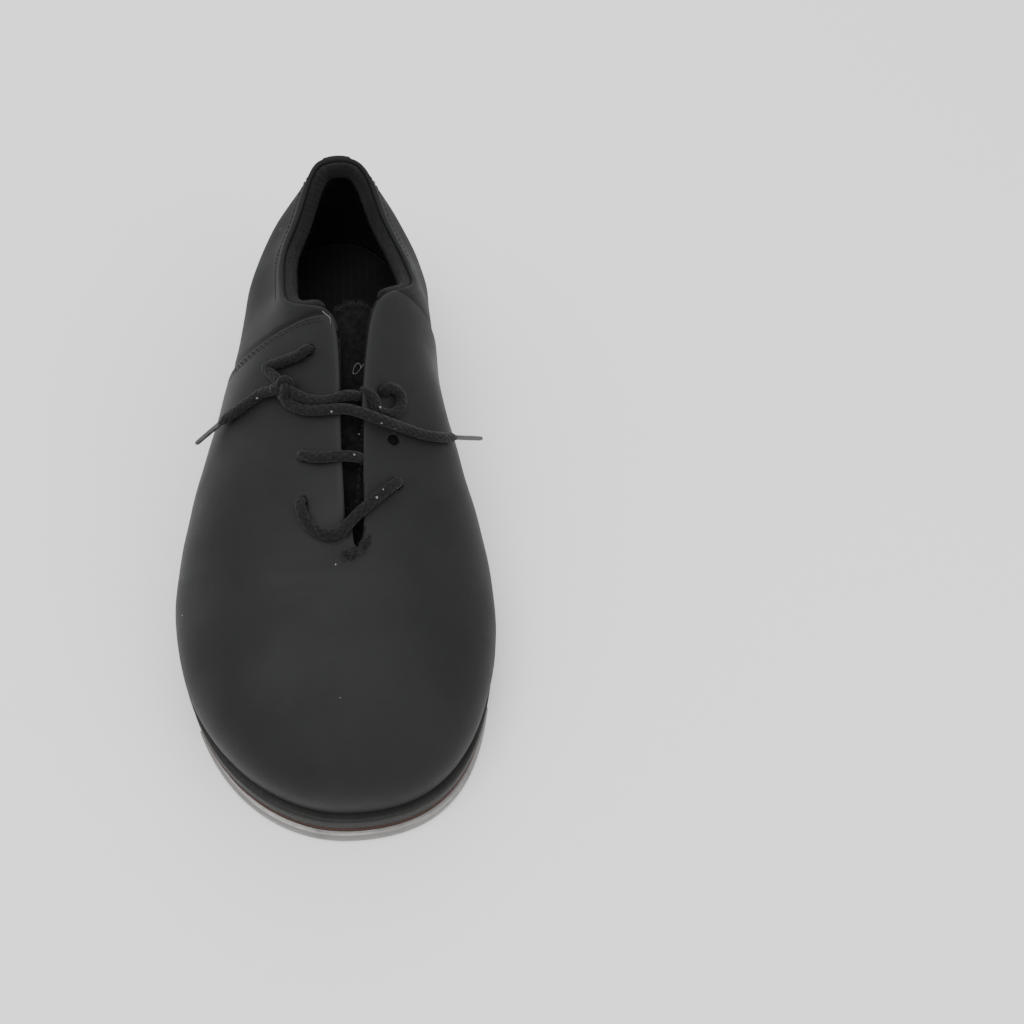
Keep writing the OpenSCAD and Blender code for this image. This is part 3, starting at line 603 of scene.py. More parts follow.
def brushed(name, colour, rough, scale=(1, 1, 18)):
    """Metal with fine level scratches and a few scuffs."""
    material, b, shader = start(name, Metallic=1.0)
    at = b.around()
    lines = b.noise(b.squeezed(at, scale), 420.0, 4, 0.7)
    wear_and_rim_highlight = b.range(b.noise(at, 55.0, 5, 0.7), 0.5, 0.72)
    tone = b.mix(b.times(wear_and_rim_highlight, 0.5), colour, tuple(0.62 * c for c in colour))
    return dress(material, b, shader, tone, lines, 0.35, 0.00005,
                 b.math("ADD", b.range(lines, 0.3, 0.7, *rough), b.times(wear_and_rim_highlight, 0.14)))


def rolled_film():
    """The film of an aglet: grey plastic with the lace showing faintly through."""
    material, b, shader = start("aglet_film", Specular_IOR_Level=0.6, Coat_Weight=0.4,
                                Coat_Roughness=0.2)
    cloud = b.range(b.noise(b.around(), 700.0, 4), 0.35, 0.65)
    colour = b.mix(cloud, (0.012, 0.0125, 0.0125), (0.045, 0.046, 0.0455))
    return dress(material, b, shader, colour, cloud, 0.4, 0.0001,
                 b.range(cloud, 0, 1, 0.28, 0.45))


def pressed_board(name, dark, pale):
    material, b, shader = start(name, Roughness=0.95)
    holes = b.cells(b.around(), 1500.0)["Distance"]
    # The pits are painted darker than the board around them: painted shade in the pits
    return dress(material, b, shader, b.mix(b.range(holes, 0.2, 0.6), dark, pale), holes,
                 0.6, 0.0002)


LEATHER = leather("upper_leather", (0.0098, 0.0101, 0.0102), (0.0165, 0.0168, 0.0169))
QUARTER_LEATHER = leather("quarter_leather", (0.0062, 0.0065, 0.0066), (0.011, 0.0113, 0.0114),
                          (0.56, 0.68))
SUEDE_BACK = nap("tongue_flesh_side", (0.0022, 0.0023, 0.0026), (0.0075, 0.0077, 0.0082))
ROUGH_EDGE = nap("raw_leather_edge", (0.010, 0.0104, 0.0106), (0.03, 0.031, 0.0315))
LINING = cloth("lining_cloth", (0.001, 0.001, 0.0012), (0.0028, 0.0029, 0.0033), 1500, 0.9,
               0.03)
ROLL_KNIT = cloth("collar_knit", (0.0022, 0.0023, 0.0024), (0.009, 0.0091, 0.0093), 1700, 0.95,
                  0.04, 0.0002, 0.02)
SOCK = cloth("sock_cloth", (0.0014, 0.0015, 0.0018), (0.0045, 0.0047, 0.0055), 1200, 0.9,
             0.04)
LACE = braided_lace()
FILM = rolled_film()
THREAD = cloth("sewing_thread", (0.010, 0.0104, 0.0106), (0.022, 0.0225, 0.0228), 4200,
               0.7, 0.02, 0.00004)
LINT = cloth("pale_lint", (0.14, 0.14, 0.135), (0.28, 0.28, 0.27), 3000, 0.9, 0.3, 0.00003)
TAP_METAL = brushed("tap_alloy", (0.22, 0.217, 0.21), (0.36, 0.54))
SCREW_STEEL = brushed("screw_steel", (0.55, 0.56, 0.57), (0.22, 0.34), (1, 1, 1))
SHANK_STEEL = brushed("shank_steel", (0.42, 0.43, 0.45), (0.3, 0.5), (12, 1, 1))
FIBRE = ground_edge("fibre_board", (0.022, 0.0085, 0.0055), (0.052, 0.019, 0.011), 9,
                    (0.6, 0.8))
SOLE_EDGE = ground_edge("sole_edge", (0.003, 0.0027, 0.0024), (0.0075, 0.0067, 0.006), 7,
                        (0.5, 0.7))
HEEL_EDGE = ground_edge("heel_edge", (0.0055, 0.0056, 0.0058), (0.012, 0.0122, 0.0124), 7,
                        (0.38, 0.55), 0.0048)
INSOLE = ground_edge("insole_board", (0.2, 0.14, 0.085), (0.3, 0.22, 0.14), 1, (0.7, 0.9))
STIFF = pressed_board("stiffener_board", (0.12, 0.11, 0.095), (0.2, 0.19, 0.17))


# ---------------------------------------------------------------- what repeats
def geometry_tree(name, takes):
    return new_tree("Geometry", name, {"Geometry": "Geometry", **takes,
                                       "Material": "Material"}, ("Geometry",), "Geometry")


def repeat(b, given, made, points, instance, **turns):
    """One copy at each point, made real and painted."""
    copies = b.add("GeometryNodeInstanceOnPoints", {"Points": points, "Instance": instance,
                                                    **turns})
    real = b.add("GeometryNodeRealizeInstances", {0: copies.outputs[0]})
    paint = b.add("GeometryNodeSetMaterial", {"Geometry": real.outputs[0],
                                              "Material": given["Material"]})
    return b.close(made, paint.outputs[0])


def moved(b, node, size, shift=(0, 0, 0)):
    return b.add("GeometryNodeTransform", {"Geometry": node.outputs["Mesh"], "Scale": size,
                                           "Translation": shift}).outputs[0]


def stitch_row():
    """Stitches an equal step apart along a line of edges."""
    b, given, made = geometry_tree("stitch_row", {
        "Step": 0.0026, "Stitch length": 0.0019, "Thread width": 0.0005})
    curve = b.add("GeometryNodeMeshToCurve", {0: given["Geometry"]})
    spots = b.add("GeometryNodeCurveToPoints", {0: curve.outputs[0], "Length": given["Step"]},
                  mode="LENGTH").outputs
    ball = b.add("GeometryNodeMeshUVSphere", {"Segments": 7, "Rings": 5, "Radius": 0.5})
    width = given["Thread width"]
    stitch = moved(b, ball, b.vector(width, width, given["Stitch length"]))
    return repeat(b, given, made, spots["Points"], stitch, Rotation=spots["Rotation"])


def tap_screw_set():
    """Countersunk screws with a six-sided recess, one at each point."""
    b, given, made = geometry_tree("tap_screw_set", {
        "Head width": 0.0066, "Shank width": 0.003, "Head height": 0.0024, "Length": 0.0092})
    head_h, shank_r = given["Head height"], b.times(given["Shank width"], 0.5)
    head = b.add("GeometryNodeMeshCone", {
        "Vertices": 32, "Radius Bottom": b.times(given["Head width"], 0.5),
        "Radius Top": shank_r, "Depth": head_h})
    shank = b.add("GeometryNodeMeshCylinder", {"Vertices": 24, "Radius": shank_r,
                                               "Depth": given["Length"]})
    recess = b.add("GeometryNodeMeshCylinder", {
        "Vertices": 6, "Radius": b.times(given["Head width"], 0.22), "Depth": head_h})
    lower = b.vector(0, 0, b.times(head_h, -0.55))
    cut_out = b.add("GeometryNodeMeshBoolean", {
        "Mesh 1": head.outputs["Mesh"], "Mesh 2": moved(b, recess, (1, 1, 1), lower)},
        operation="DIFFERENCE", solver="EXACT")
    whole = b.add("GeometryNodeJoinGeometry", {0: cut_out.outputs["Mesh"]})
    higher = b.vector(0, 0, b.math("MULTIPLY_ADD", given["Length"], 0.5, 0.0021))
    b.link(moved(b, shank, (1, 1, 1), higher), whole.inputs[0])
    return repeat(b, given, made, given["Geometry"], whole.outputs[0])


def raw_fuzz():
    """Short loose fibres standing on points, each turned and sized by a fixed seed."""
    b, given, made = geometry_tree("raw_fuzz", {
        "Fibre length": 0.0012, "Fibre width": 0.00012, "Spread": 1.0, "Seed": 4})
    fibre = b.add("GeometryNodeMeshCone", {
        "Vertices": 4, "Side Segments": 2, "Radius Bottom": given["Fibre width"],
        "Radius Top": b.times(given["Fibre width"], 0.3), "Depth": given["Fibre length"]})
    turn = b.add("FunctionNodeRandomValue", {"Seed": given["Seed"]}, data_type="FLOAT_VECTOR")
    for key, sign in (("Min", -1), ("Max", 1)):
        spin = b.times(given["Spread"], sign)
        b.link(b.vector(spin, spin, 3.0 * sign), turn.inputs[key])
    size = b.add("FunctionNodeRandomValue", {2: 0.4, 3: 1.3, "Seed": b.math(
        "ADD", given["Seed"], 1)}, data_type="FLOAT")
    return repeat(b, given, made, given["Geometry"], fibre.outputs["Mesh"],
                  Rotation=turn.outputs[0], Scale=size.outputs[1])


STITCHES, SCREWS, FUZZ = stitch_row(), tap_screw_set(), raw_fuzz()


def settle(piece):
    """Turns what the modifier makes into the piece's own plain mesh."""
    graph = bpy.context.evaluated_depsgraph_get()
    made = bpy.data.meshes.new_from_object(piece.evaluated_get(graph), depsgraph=graph)
    piece.modifiers.clear()
    piece.data = made


def grow(name, tree, points, edges=(), **inputs):
    """A plain mesh from a tree run on these points."""
    mesh = bpy.data.meshes.new(name)
    mesh.from_pydata((np.asarray(points) * MM).tolist(), list(edges), [])
    piece = put(name, mesh)
    step = piece.modifiers.new(name, "NODES")
    step.node_group = tree
    for item in tree.interface.items_tree:
        if item.in_out == "INPUT" and item.name.replace(" ", "_") in inputs:
            step[item.identifier] = inputs[item.name.replace(" ", "_")]
    settle(piece)
    piece.data.shade_smooth()
    if not piece.data.uv_layers:
        piece.data.uv_layers.new(name="cloth")
    return piece


def sew(name, lines, **inputs):
    points = np.concatenate(lines)
    edges, start = [], 0
    for line in lines:
        edges += [(start + k, start + k + 1) for k in range(len(line) - 1)]
        start += len(line)
    return grow(name, STITCHES, points, edges, Material=THREAD, **inputs)


# ---------------------------------------------------------------- joining pieces to the frame
def mount(piece, body=None, nodes=()):
    """The piece rides on one body, or, with none, keeps its place with its transform baked in.
    """
    if body:
        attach(piece, body)
    else:
        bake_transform(piece)
    if nodes:
        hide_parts(*nodes)
    return piece


def cut(piece, bm):
    """Takes the shape in bm out of the piece."""
    mesh = bpy.data.meshes.new("cutter")
    bmesh.ops.recalc_face_normals(bm, faces=bm.faces)
    bm.to_mesh(mesh)
    bm.free()
    tool = put("cutter", mesh)
    step = piece.modifiers.new("cut", "BOOLEAN")
    step.operation, step.solver, step.object = "DIFFERENCE", "EXACT", tool
    settle(piece)
    bpy.data.objects.remove(tool)


def slot(piece):
    """Opens the foot of the slit, which runs to a point at the bar tack."""
    bm = bmesh.new()
    low, high = ([bm.verts.new(Vector((px, py, h)) * MM) for px, py in SLOT]
                 for h in (40, 80))
    bm.faces.new(low[::-1])
    bm.faces.new(high)
    for k in range(len(SLOT)):
        n = (k + 1) % len(SLOT)
        bm.faces.new((low[k], low[n], high[n], high[k]))
    cut(piece, bm)


def drill(piece, cones, sides=28):
    """Cuts round holes; each cone is foot, axis, then (height, radius) along it."""
    bm = bmesh.new()
    for foot, axis, steps in cones:
        turn = Vector(axis).to_track_quat("Z", "Y").to_matrix().to_4x4()
        stand = Matrix.Translation(Vector(foot) * MM) @ turn
        rings = [[bm.verts.new(stand @ Vector((r * cos(k * tau / sides) * MM,
                                               r * sin(k * tau / sides) * MM, h * MM)))
                  for k in range(sides)] for h, r in steps]
        for a, b in zip(rings, rings[1:]):
            for k in range(sides):
                n = (k + 1) % sides
                bm.faces.new((a[k], a[n], b[n], b[k]))
        bm.faces.new(rings[0][::-1])
        bm.faces.new(rings[-1])
    cut(piece, bm)


# ---------------------------------------------------------------- the vamp and the quarters
def ripple(p, size, seed):
    """Slow unevenness of hand-lasted leather."""
    rng = np.random.default_rng(seed)
    total = 0
    for _ in range(7):
        way, phase = unit(rng.normal(size=3)), rng.uniform(0, tau)
        total = total + np.sin(p @ way * tau / rng.uniform(17, 46) + phase)
    return size * total / 3


def creases(p):
    """Shallow folds across the ball of the foot, deepest over the middle."""
    x, y, z = p[..., 0], p[..., 1], p[..., 2]
    top = smooth((z - 38) / 10)
    total = 0
    for at, bow, deep, wide in ((-60.5, 0.0035, 0.13, 1.9), (-66.5, 0.0022, 0.05, 2.8),
                                (-54.5, 0.005, 0.05, 2.2)):
        line = at + bow * (x - 6) ** 2 + 0.9 * np.sin(x / 7 + at)
        total = total - deep * np.exp(-((y - line) / wide) ** 2) \
            + 0.45 * deep * np.exp(-((y - line - 3.4) / 2.4) ** 2)
    return total * top


def grid(na, nb):
    return np.meshgrid(np.linspace(0, 1, na + 1), np.linspace(0, 1, nb + 1), indexing="ij")


a, v = grid(260, 60)
u = ramp(-seam_u(v, -1), seam_u(v, 1), a)
rest = skin(u, v)
lip = np.exp(-(1 - v) / 0.02) * smooth((9 - np.abs(u)) / 1.5)
relief = ripple(rest, 0.16, 3) * smooth(v / 0.12) + creases(rest) + 0.35 * lip
for hu, hv in HOLES:
    away = np.linalg.norm(rest - skin(hu, hv), axis=-1)
    relief = relief - 0.35 * np.exp(-(away / 4.2) ** 2) + 0.2 * np.exp(-((away - 3.4) / 1) ** 2)
vamp = closed_shell("vamp", skin(u, v, -relief), skin(u, v, VAMP_T - 0.5 * relief), LEATHER)
drill(vamp, [(skin(hu, hv, 6), skin(hu, hv, 0) - skin(hu, hv, 6),
              [(0, HOLE_D / 2), (6, HOLE_D / 2 - 0.15), (7.5, HOLE_D / 2 + 0.4)])
             for hu, hv in HOLES])
slot(vamp)
mount(vamp, None, ("vamp_toe", "vamp_crease", "vamp_instep"))

for side, label in ((1, "medial"), (-1, "lateral")):
    a, v = grid(110, 44)
    u = side * ramp(seam_u(v, side) - TUCK, HEEL - 0.02, a)
    rest = skin(u, v)
    under = smooth((np.abs(u) - seam_u(v, side) - 0.12) / 0.45)
    top = VAMP_T + 0.1 - 0.75 * under - ripple(rest, 0.14, 5) * under
    quarter = closed_shell("quarter_" + label, skin(u, v, top), skin(u, v, VAMP_T + QUARTER_T),
                           QUARTER_LEATHER)
    mount(quarter, "rearfoot", ("quarter_" + label,))

a, v = grid(26, 60)
u = HEEL + (2 * a - 1) * (0.6 - 0.22 * np.sin(pi * v) + 0.12 * v)
crown = 0.28 * np.cos(pi * (a - 0.5))
strip = closed_shell("back_strip", skin(u, v, 0.25 - crown), skin(u, v, VAMP_T - 0.2), LEATHER)
mount(strip, "rearfoot", ("back_strip",))

# Rows of stitches: two along each seam, one each side of the back strip, one under the roll
t = np.linspace(0.03, 0.94, 90)
rows = [skin(side * (seam_u(t, side) - back), t, 0.02) for side in (1, -1)
        for back in (0.13, 0.3)]
rows += [skin(HEEL + side * (0.49 - 0.22 * np.sin(pi * t) + 0.12 * t), t, -0.02)
         for side in (1, -1)]
w = np.linspace(9.4, TURN - 9.2, 260)
rows.append(skin(w, 0.905 + 0 * w, 0.62))
mount(sew("upper_stitches", rows, Step=0.0024, Stitch_length=0.0019, Thread_width=0.00036),
      "rearfoot")

# ---------------------------------------------------------------- linings
a, v = grid(170, 34)
v = ramp(0.03, 0.985, v)
u = ramp(-(seam_u(v, -1) - LINING_BACK), seam_u(v, 1) - LINING_BACK, a)
y = skin(u, v)[..., 1]
puff = smooth((3.2 - np.abs(u)) / 0.45) * smooth((0.64 - v) / 0.1)
tuck = smooth((np.abs(u) - np.where(u > 0, seam_u(v, 1), seam_u(v, -1)) + TUCK + 0.35) / 0.25)
top = VAMP_T + 1.5 * PLY + puff * (PUFF_T + PLY) + tuck * QUARTER_T
bottom = VAMP_T + PLY + LINING_T + INSTEP_PAD * smooth((y + 60) / 15)
lining = closed_shell("vamp_lining", skin(u, v, top), skin(u, v, bottom), LINING)
slot(lining)
mount(lining, None, ("vamp_lining_toe", "lining_crease",
                                      "vamp_lining_instep"))

a, v = grid(170, 30)
v = ramp(0.03, 0.9, v)
u = ramp(seam_u(v, 1) - LINING_BACK + 0.08, TURN - seam_u(v, -1) + LINING_BACK - 0.08, a)
room = smooth((u - COUNTER_FROM) / 0.6) * smooth((TURN - COUNTER_FROM - u) / 0.6) \
    * smooth((0.74 - v) / 0.1)
top = VAMP_T + QUARTER_T + 0.1 + room * (COUNTER_T + 0.1)
quarter_lining = closed_shell("quarter_lining", skin(u, v, top),
                              skin(u, v, top + QUARTER_LINING_T), LINING)
mount(quarter_lining, "rearfoot", ("quarter_lining",))


# ---------------------------------------------------------------- the padded collar roll
def wound(name, line, ups, width, height, material, sides):
    """A closed tube with its own map: x round it, y along it."""
    t = unit(np.gradient(line, axis=0))
    side = unit(np.cross(ups, t))
    lift = np.cross(t, side)
    angle = np.arange(sides) * tau / sides
    rings = (line[:, None] + width / 2 * np.cos(angle)[None, :, None] * side[:, None]
             + height / 2 * np.sin(angle)[None, :, None] * lift[:, None])
    run = np.r_[0, np.linalg.norm(np.diff(line, axis=0), axis=1).cumsum()]
    rings = np.concatenate([rings, rings[:, :1]], axis=1)
    uv = np.stack(np.broadcast_arrays((np.arange(sides + 1) / sides)[None] * 1000,
                                      run[:, None]), -1)
    m = len(line)
    faces = grid_faces(m, sides + 1)
    faces += [list(range(sides))[::-1],
              list(range((m - 1) * (sides + 1), (m - 1) * (sides + 1) + sides))]
    return lay_mesh(name, rings.reshape(-1, 3), faces, material, uv.reshape(-1, 2))


roll_u = np.linspace(8.3, TURN - 8.3, 420)
roll_at = skin(roll_u, ROLL_V, ROLL_IN)
roll_out = unit(skin(roll_u, ROLL_V, 0) - roll_at)
run = np.linspace(0, 1, len(roll_u))
ends = np.clip(np.minimum(run, 1 - run) / 0.02, 0.0, 1.0)
swell = np.sqrt(1 - (1 - ends) ** 2 * 0.9)
pucker = 1 + 0.018 * np.sin(roll_u * 9.1) + 0.012 * np.sin(roll_u * 23.7 + 1)
roll = wound("collar_roll", roll_at + roll_out * 0.35, roll_out,
             (ROLL_D * swell * pucker)[:, None, None], (ROLL_D * swell)[:, None, None] * 0.94,
             ROLL_KNIT, 24)
mount(roll, "rearfoot", ("collar_binding", "collar_foam"))


# ---------------------------------------------------------------- the tongue
SLIT_START = 84.5


def slit_z(s):
    t = s - SLIT_START
    return feather_z(SLIT_START) + 42 + 0.39 * t - 0.0004 * t * t


def tongue_at(s, x, d):
    drop = INSTEP_PAD + 0.5 + 2.1 * smooth((s - 112) / 30)
    return np.stack([(s - SLIT_START) * 0.058 + 4 + x, s - MID,
                     slit_z(s) - VAMP_T - PLY - LINING_T - drop - 0.024 * x * x - d], -1)


a, b = grid(110, 44)
s = ramp(TONGUE_FROM, TONGUE_TO, a ** 0.8)
wide = (11 + 4 * smooth((s - 80) / 45) - 4.2 * smooth((s - 128) / 28)) * np.sqrt(
    1 - np.clip((s - ARCH_AT) / 11, 0, 1) ** 2)
x = (2 * b - 1) * wide
sag = 0.35 * np.sin(s / 6.5 + x / 9) * np.exp(-(x / 9) ** 2)
tongue = closed_shell("tongue", tongue_at(s, x, 0.1 + np.abs(sag)),
                      tongue_at(s, x, TONGUE_T), SUEDE_BACK)
mount(tongue, "rearfoot", ("tongue",))

# The sewn patch that stops the slit from tearing
a, v = grid(40, 22)
u = ramp(-0.5, 2.2, a) - 0.25 * np.sin(v * 9)
v = ramp(0.931, 0.953, v) - 0.004 * np.sin(a * 21)
rng = np.random.default_rng(8)
wear_and_rim_highlight = 0.14 * np.sin(a * 47 + v * 700) + 0.1 * rng.normal(size=a.shape)
patch = closed_shell("bar_tack", skin(u, v, -0.3 - wear_and_rim_highlight), skin(u, v, 0.3), ROUGH_EDGE)
mount(patch, "rearfoot", ("bar_tack",))


def scatter(line, count, spread, seed):
    rng = np.random.default_rng(seed)
    pick = line[rng.integers(0, len(line), count)]
    return pick + rng.normal(size=(count, 3)) * spread


def along_slit(first, last, v, d, count=200):
    return skin(np.linspace(first, last, count), v, d)


t = np.linspace(-1.35, 1.35, 120)
arch = tongue_at(ARCH_AT + ARCH_R * np.cos(t), ARCH_R * np.sin(t), 0.3)
w = np.linspace(8.6, TURN - 8.6, 500)
collar = np.concatenate([
    skin(w, ROLL_V, ROLL_IN)
    + ROLL_D / 2 * (cos(t) * unit(skin(w, ROLL_V, 0) - skin(w, ROLL_V, 1))
                    + sin(t) * unit(skin(w, 0.99, 5) - skin(w, 0.95, 5)))
    for t in (-1.2, -0.4, 0.4, 1.0, 1.6, 2.2, 2.9, 3.5)])
for name, spots, length, width, seed, fibre, place in (
        ("tongue_fuzz", [scatter(arch, 620, 0.45, 1)],
         0.0012, 0.00009, 11, ROUGH_EDGE, "tongue_leather"),
        ("slit_edge_fuzz", [scatter(along_slit(0.5, 8, 0.998, 0.7), 260, 0.2, 2),
                            scatter(along_slit(-7.8, -0.5, 0.998, 0.7), 520, 0.2, 3)],
         0.0011, 0.00008, 12, ROUGH_EDGE, "leather_black"),
        ("slit_end_fuzz", [scatter(along_slit(-0.4, 2.0, 0.942, -0.3, 90), 330, 0.85, 6),
                           scatter(along_slit(-1.5, 3.0, 0.938, -0.15, 90), 160, 1.3, 7)],
         0.0009, 0.00008, 17, ROUGH_EDGE, "leather_black"),
        ("collar_fuzz", [scatter(collar, 3000, 0.16, 9)],
         0.0009, 0.00007, 23, ROLL_KNIT, "collar_knit")):
    fuzz = grow(name, FUZZ, np.concatenate(spots), Fibre_length=length, Fibre_width=width,
                Seed=seed, Material=fibre)
    mount(fuzz, "rearfoot")


# ---------------------------------------------------------------- the lace
LACE_STEP = 0.42
KNOT_AT = [-6.4, 0.775, 4.2]


def strand(points):
    line = through([over(p) for p in points], 10)
    ups = through([out_of(p) for p in points], 10)
    return even(line, unit(ups), LACE_STEP)


def knot_line():
    t = np.linspace(0, tau, 150)
    flat = np.stack([np.sin(t) + 2 * np.sin(2 * t), np.cos(t) - 2 * np.cos(2 * t),
                     -1.15 * np.sin(3 * t)], -1)
    foot, up = over(KNOT_AT), out_of(KNOT_AT)
    one = unit(over([-6.9, 0.7, 4.2]) - foot)
    one = unit(one - up * (one @ up))
    two = np.cross(up, one)
    return foot + flat @ np.stack([one, two, up]) * 1.02, np.broadcast_to(up, (150, 3))


def join(name, pieces):
    bm = bmesh.new()
    for piece in pieces:
        bm.from_mesh(piece.data)
    mesh = bpy.data.meshes.new(name)
    bm.to_mesh(mesh)
    bm.free()
    mesh.shade_smooth()
    mesh.materials.append(pieces[0].data.materials[0])
    for piece in pieces:
        bpy.data.objects.remove(piece)
    return put(name, mesh)


parts = [wound("strand", *strand(points), LACE_D * 1.06, LACE_D * 0.94, LACE, 16)
         for points in (LOWER_BAR, MIDDLE_BAR, UPPER_STRAND, CROSS_STRAND, LACE_LOOP)]
parts.append(wound("strand", *knot_line(), 3.3, 3.0, LACE, 16))
mount(join("lace", parts), "rearfoot", ("lace",))


def aglet(name, line, way):
    """A rolled film sleeve with a pinched tip."""
    way = unit(np.array(way, float))
    at = np.array([-1.6, -1.2, 0, 1.2, 3, 6, 9, 10.6, 11.4, 11.8, 12.0])
    r = np.array([0.86, 1.0, 0.99, 0.96, 0.95, 0.95, 0.94, 0.92, 0.8, 0.55, 0.2]) * AGLET_D / 2
    start = line[-1]
    back = unit(line[-1] - line[-6])
    path = np.array([start + (back if k < 0 else way) * k for k in at])
    side = np.broadcast_to(np.array([0.0, 0.0, 1.0]), path.shape)
    return wound(name, path, side, 2 * r[:, None, None], 2 * r[:, None, None], FILM, 20)


def taper(line):
    """Width along a free end: the lace is pinched where it enters its aglet."""
    width = np.full(len(line), 1.0)
    width[-9:] = np.linspace(1, 0.5, 9)
    return width[:, None, None]


for label, points, way, length in (
        ("lateral", LATERAL_END, LATERAL_AGLET, LATERAL_LACE),
        ("medial", MEDIAL_END, MEDIAL_AGLET, MEDIAL_LACE)):
    line, ups = strand(points)
    end = wound("lace_end_" + label, line, ups, LACE_D * 1.05 * taper(line),
                LACE_D * 0.93 * taper(line), LACE, 16)
    tip = aglet("aglet_" + label + "_film", line, way)
    mount(tip, "rearfoot", ("aglet_" + label,))
    mount(end, "rearfoot", ("lace_end_" + label,))

# Lint: a curl on the tongue, and a pale thread along its edge
t = np.linspace(0, 1, 60)
curl = tongue_at(143.5 + 2 * np.sin(t * 7.5), 1.5 + 1.6 * np.cos(t * 6.1) + t, -0.3 - 0.3 * t)
edge_thread = skin(ramp(-8.1, -7.35, t), 0.997 - 0.004 * np.sin(t * 9), -0.22)
above = np.broadcast_to([0.0, 0.0, 1.0], curl.shape)
lint = join("lint", [wound("lint", curl, above, 0.14, 0.14, LINT, 6),
                     wound("lint", edge_thread, above, 0.15, 0.13, LINT, 6)])
mount(lint, "rearfoot")


# ---------------------------------------------------------------- the bottom
def slab(name, grow_out, profile, material, lip=0.0):
    """A layer that follows the sole line; profile gives (inset, height over the sole line)."""
    n, across = 150, 16
    u = np.arange(2 * n) * TURN / (2 * n)
    height = lambda xy, h: np.c_[xy, feather_z(xy[:, 1] + MID) + h]
    rings = [height(outline(u, grow_out - inset, lip), h) for inset, h in profile]
    points, faces = np.concatenate(rings), ring_faces(2 * n, len(rings))
    for ring, (_, h) in ((rings[0], profile[0]), (rings[-1], profile[-1])):
        one, two = ring[:n + 1, :2], ring[(-np.arange(n + 1)) % (2 * n), :2]
        t = np.linspace(0, 1, across + 1)[None, :, None]
        cap = height((one[:, None] * (1 - t) + two[:, None] * t).reshape(-1, 2), h)
        faces += grid_faces(n + 1, across + 1, len(points))
        points = np.r_[points, cap]
    return lay_mesh(name, points, faces, material, points[:, :2])


def plate(name, loop, profile, material):
    """A flat plate from its outline; profile gives (inset, height)."""
    t = unit(np.roll(loop, -1, 0) - np.roll(loop, 1, 0))
    out = np.stack([t[:, 1], -t[:, 0]], -1)
    m = len(loop)
    points = np.concatenate([np.c_[loop - inset * out, np.full(m, h)]
                             for inset, h in profile])
    top = len(points) - m
    faces = ring_faces(m, len(profile)) + [list(range(m))[::-1], list(range(top, top + m))]
    return lay_mesh(name, points, faces, material, points[:, :2])


def toe_loop(ext, lip, past):
    centre = np.array([CENTRE_X, TAP_LEN - MID - TAP_R + past])
    front = outline(np.linspace(-8, 8, 700), ext, lip)
    front = front[np.linalg.norm(front - centre, axis=1) < TAP_R]
    first, last = (front[0] - centre), (front[-1] - centre)
    a0, a1 = np.arctan2(last[1], last[0]), np.arctan2(first[1], first[0])
    angle = np.linspace(a0, a1, 120)[1:-1]
    return np.r_[front[::4], centre + TAP_R * np.stack([np.cos(angle), np.sin(angle)], -1)]


def heel_loop(ext, y, scoop=0.0):
    back = outline(np.linspace(8, 24, 560), ext)
    back = back[back[:, 1] > y]
    left, right = back[-1], back[0]
    if scoop:
        centre = np.array([CENTRE_X, HEEL_Y - 2])
        a = np.arcsin((y - centre[1]) / scoop)
        angle = np.linspace(pi - a, a, 60)
        inner = centre + scoop * np.stack([np.cos(angle), np.sin(angle)], -1)
    else:
        inner = np.stack([ramp(left[0], right[0], t) for t in np.linspace(0.03, 0.97, 40)])
        inner = np.c_[inner, np.full(40, y)]
    return np.r_[back[::2], [[left[0] + 0.4, y]], inner, [[right[0] - 0.4, y]]]


def edge_profile(low, high, soft):
    return [(1.5 * soft, low), (0.45 * soft, low + 0.2 * soft), (0, low + soft),
            (0, high - soft), (0.45 * soft, high - 0.2 * soft), (1.5 * soft, high)]


WALL = VAMP_T + LINING_T + QUARTER_LINING_T + COUNTER_T + 0.4
BOARD_EDGE = edge_profile(TAP_T, TAP_T + BOARD_T, 0.2)
HEEL_STACK = [(0.5, CORE_Z), (0.05, CORE_Z + 0.25), (0, CORE_Z + 0.8), (0.25, CORE_Z + 6),
              (0.15, CORE_Z + 11.6), (0.4, CORE_Z + 12.4)]
TAP_RIM = [(1.1, 0), (0.3, 0.22), (0, 0.8), (0, TAP_T - 0.9), (0.35, TAP_T - 0.22),
           (1.2, TAP_T)]
LOOSE = 0.1  # between a screw and its hole
SUNK_HOLE = [(-1, HEAD_D / 2 + LOOSE), (HEAD_SINK, HEAD_D / 2 + LOOSE),
             (HEAD_SINK + HEAD_H, SCREW_D / 2 + LOOSE), (TAP_T + 1, SCREW_D / 2 + LOOSE)]

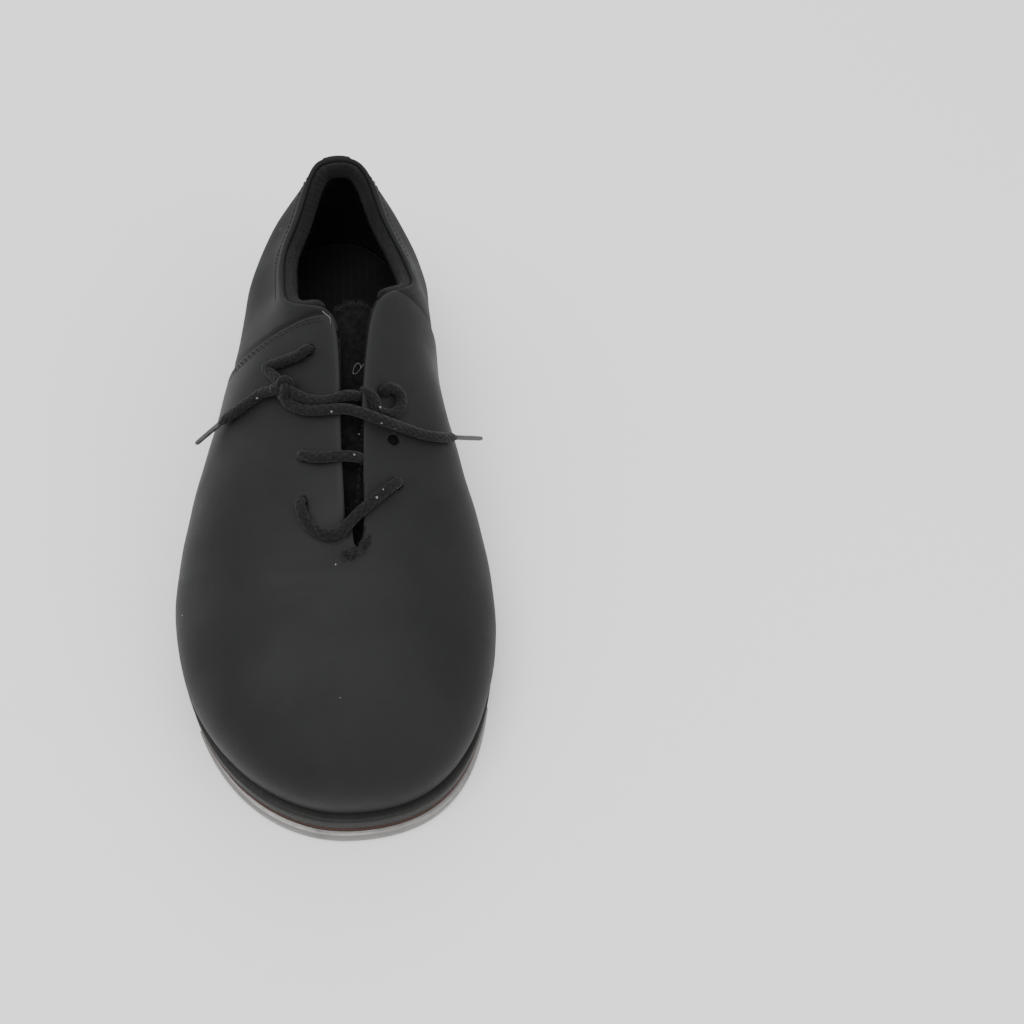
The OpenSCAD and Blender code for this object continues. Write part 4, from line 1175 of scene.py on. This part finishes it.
for name, out, profile, material, lip, place in (
        ("outsole", OUTSOLE_EXT, edge_profile(-OUTSOLE_T, 0, 0.7), SOLE_EDGE, TOE_LIP,
         "sole_black"),
        ("insole_board", -WALL, edge_profile(0.05, 2, 0.2), INSOLE, 0, "insole_board"),
        ("sock_liner", -WALL, edge_profile(2.05, 5, 0.9), SOCK, 0, "sock_fabric")):
    mount(slab(name, out, profile, material, lip), None,
          (name + "_forepart", name + "_rear"))

heel_line = heel_loop(OUTSOLE_EXT, HEEL_Y)
for name, loop, profile, material, place, body, node in (
        ("toe_sound_board_plate", toe_loop(OUTSOLE_EXT, TOE_LIP, 4), BOARD_EDGE, FIBRE,
         "fibre_board", "forefoot", "toe_sound_board"),
        ("heel_board_plate", heel_line, BOARD_EDGE, FIBRE, "fibre_board", "rearfoot",
         "heel_board"),
        ("heel_stack", heel_line, HEEL_STACK, HEEL_EDGE, "heel_stack", "rearfoot",
         "heel_block")):
    mount(plate(name, loop, profile, material), body, (node,))

TAPS = (("toe", toe_loop(TAP_EXT, TAP_LIP, 0), TOE_SCREWS, "forefoot"),
        ("heel", heel_loop(OUTSOLE_EXT, HEEL_Y + 3, 17.0), HEEL_SCREWS, "rearfoot"))
for label, loop, spots, body in TAPS:
    tap = plate(label + "_tap_plate", loop, TAP_RIM, TAP_METAL)
    drill(tap, [((px, py, 0), (0, 0, 1), SUNK_HOLE) for px, py in spots])
    mount(tap, body, (label + "_tap",))
for label, _, spots, body in TAPS:
    screws = grow(label + "_screws", SCREWS,
                  [(px, py, HEAD_SINK + HEAD_H / 2) for px, py in spots],
                  Head_width=HEAD_D * MM, Shank_width=SCREW_D * MM, Head_height=HEAD_H * MM,
                  Length=SCREW_LEN * MM, Material=SCREW_STEEL)
    mount(screws, body, (label + "_tap_screws",))

# Pieces that stay as the frame has them, inside the shoe
for node, material in (("shank", SHANK_STEEL), ("toe_puff", STIFF), ("heel_counter", STIFF)):
    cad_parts[node].data.materials.clear()
    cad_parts[node].data.materials.append(material)

# ---------------------------------------------------------------- the floor
floor_material, board, shader = start("studio_floor", Roughness=0.7)
board.link(board.mix(board.noise(board.around(), 3.0, 2), (0.93, 0.93, 0.93),
                     (0.95, 0.95, 0.95)), shader["Base Color"])
floor = lay_mesh("floor", [(FLOOR_HALF * x, FLOOR_HALF * y, 0) for x, y in (
    (-1, -1), (1, -1), (1, 1), (-1, 1))], [(0, 1, 2, 3)], floor_material)
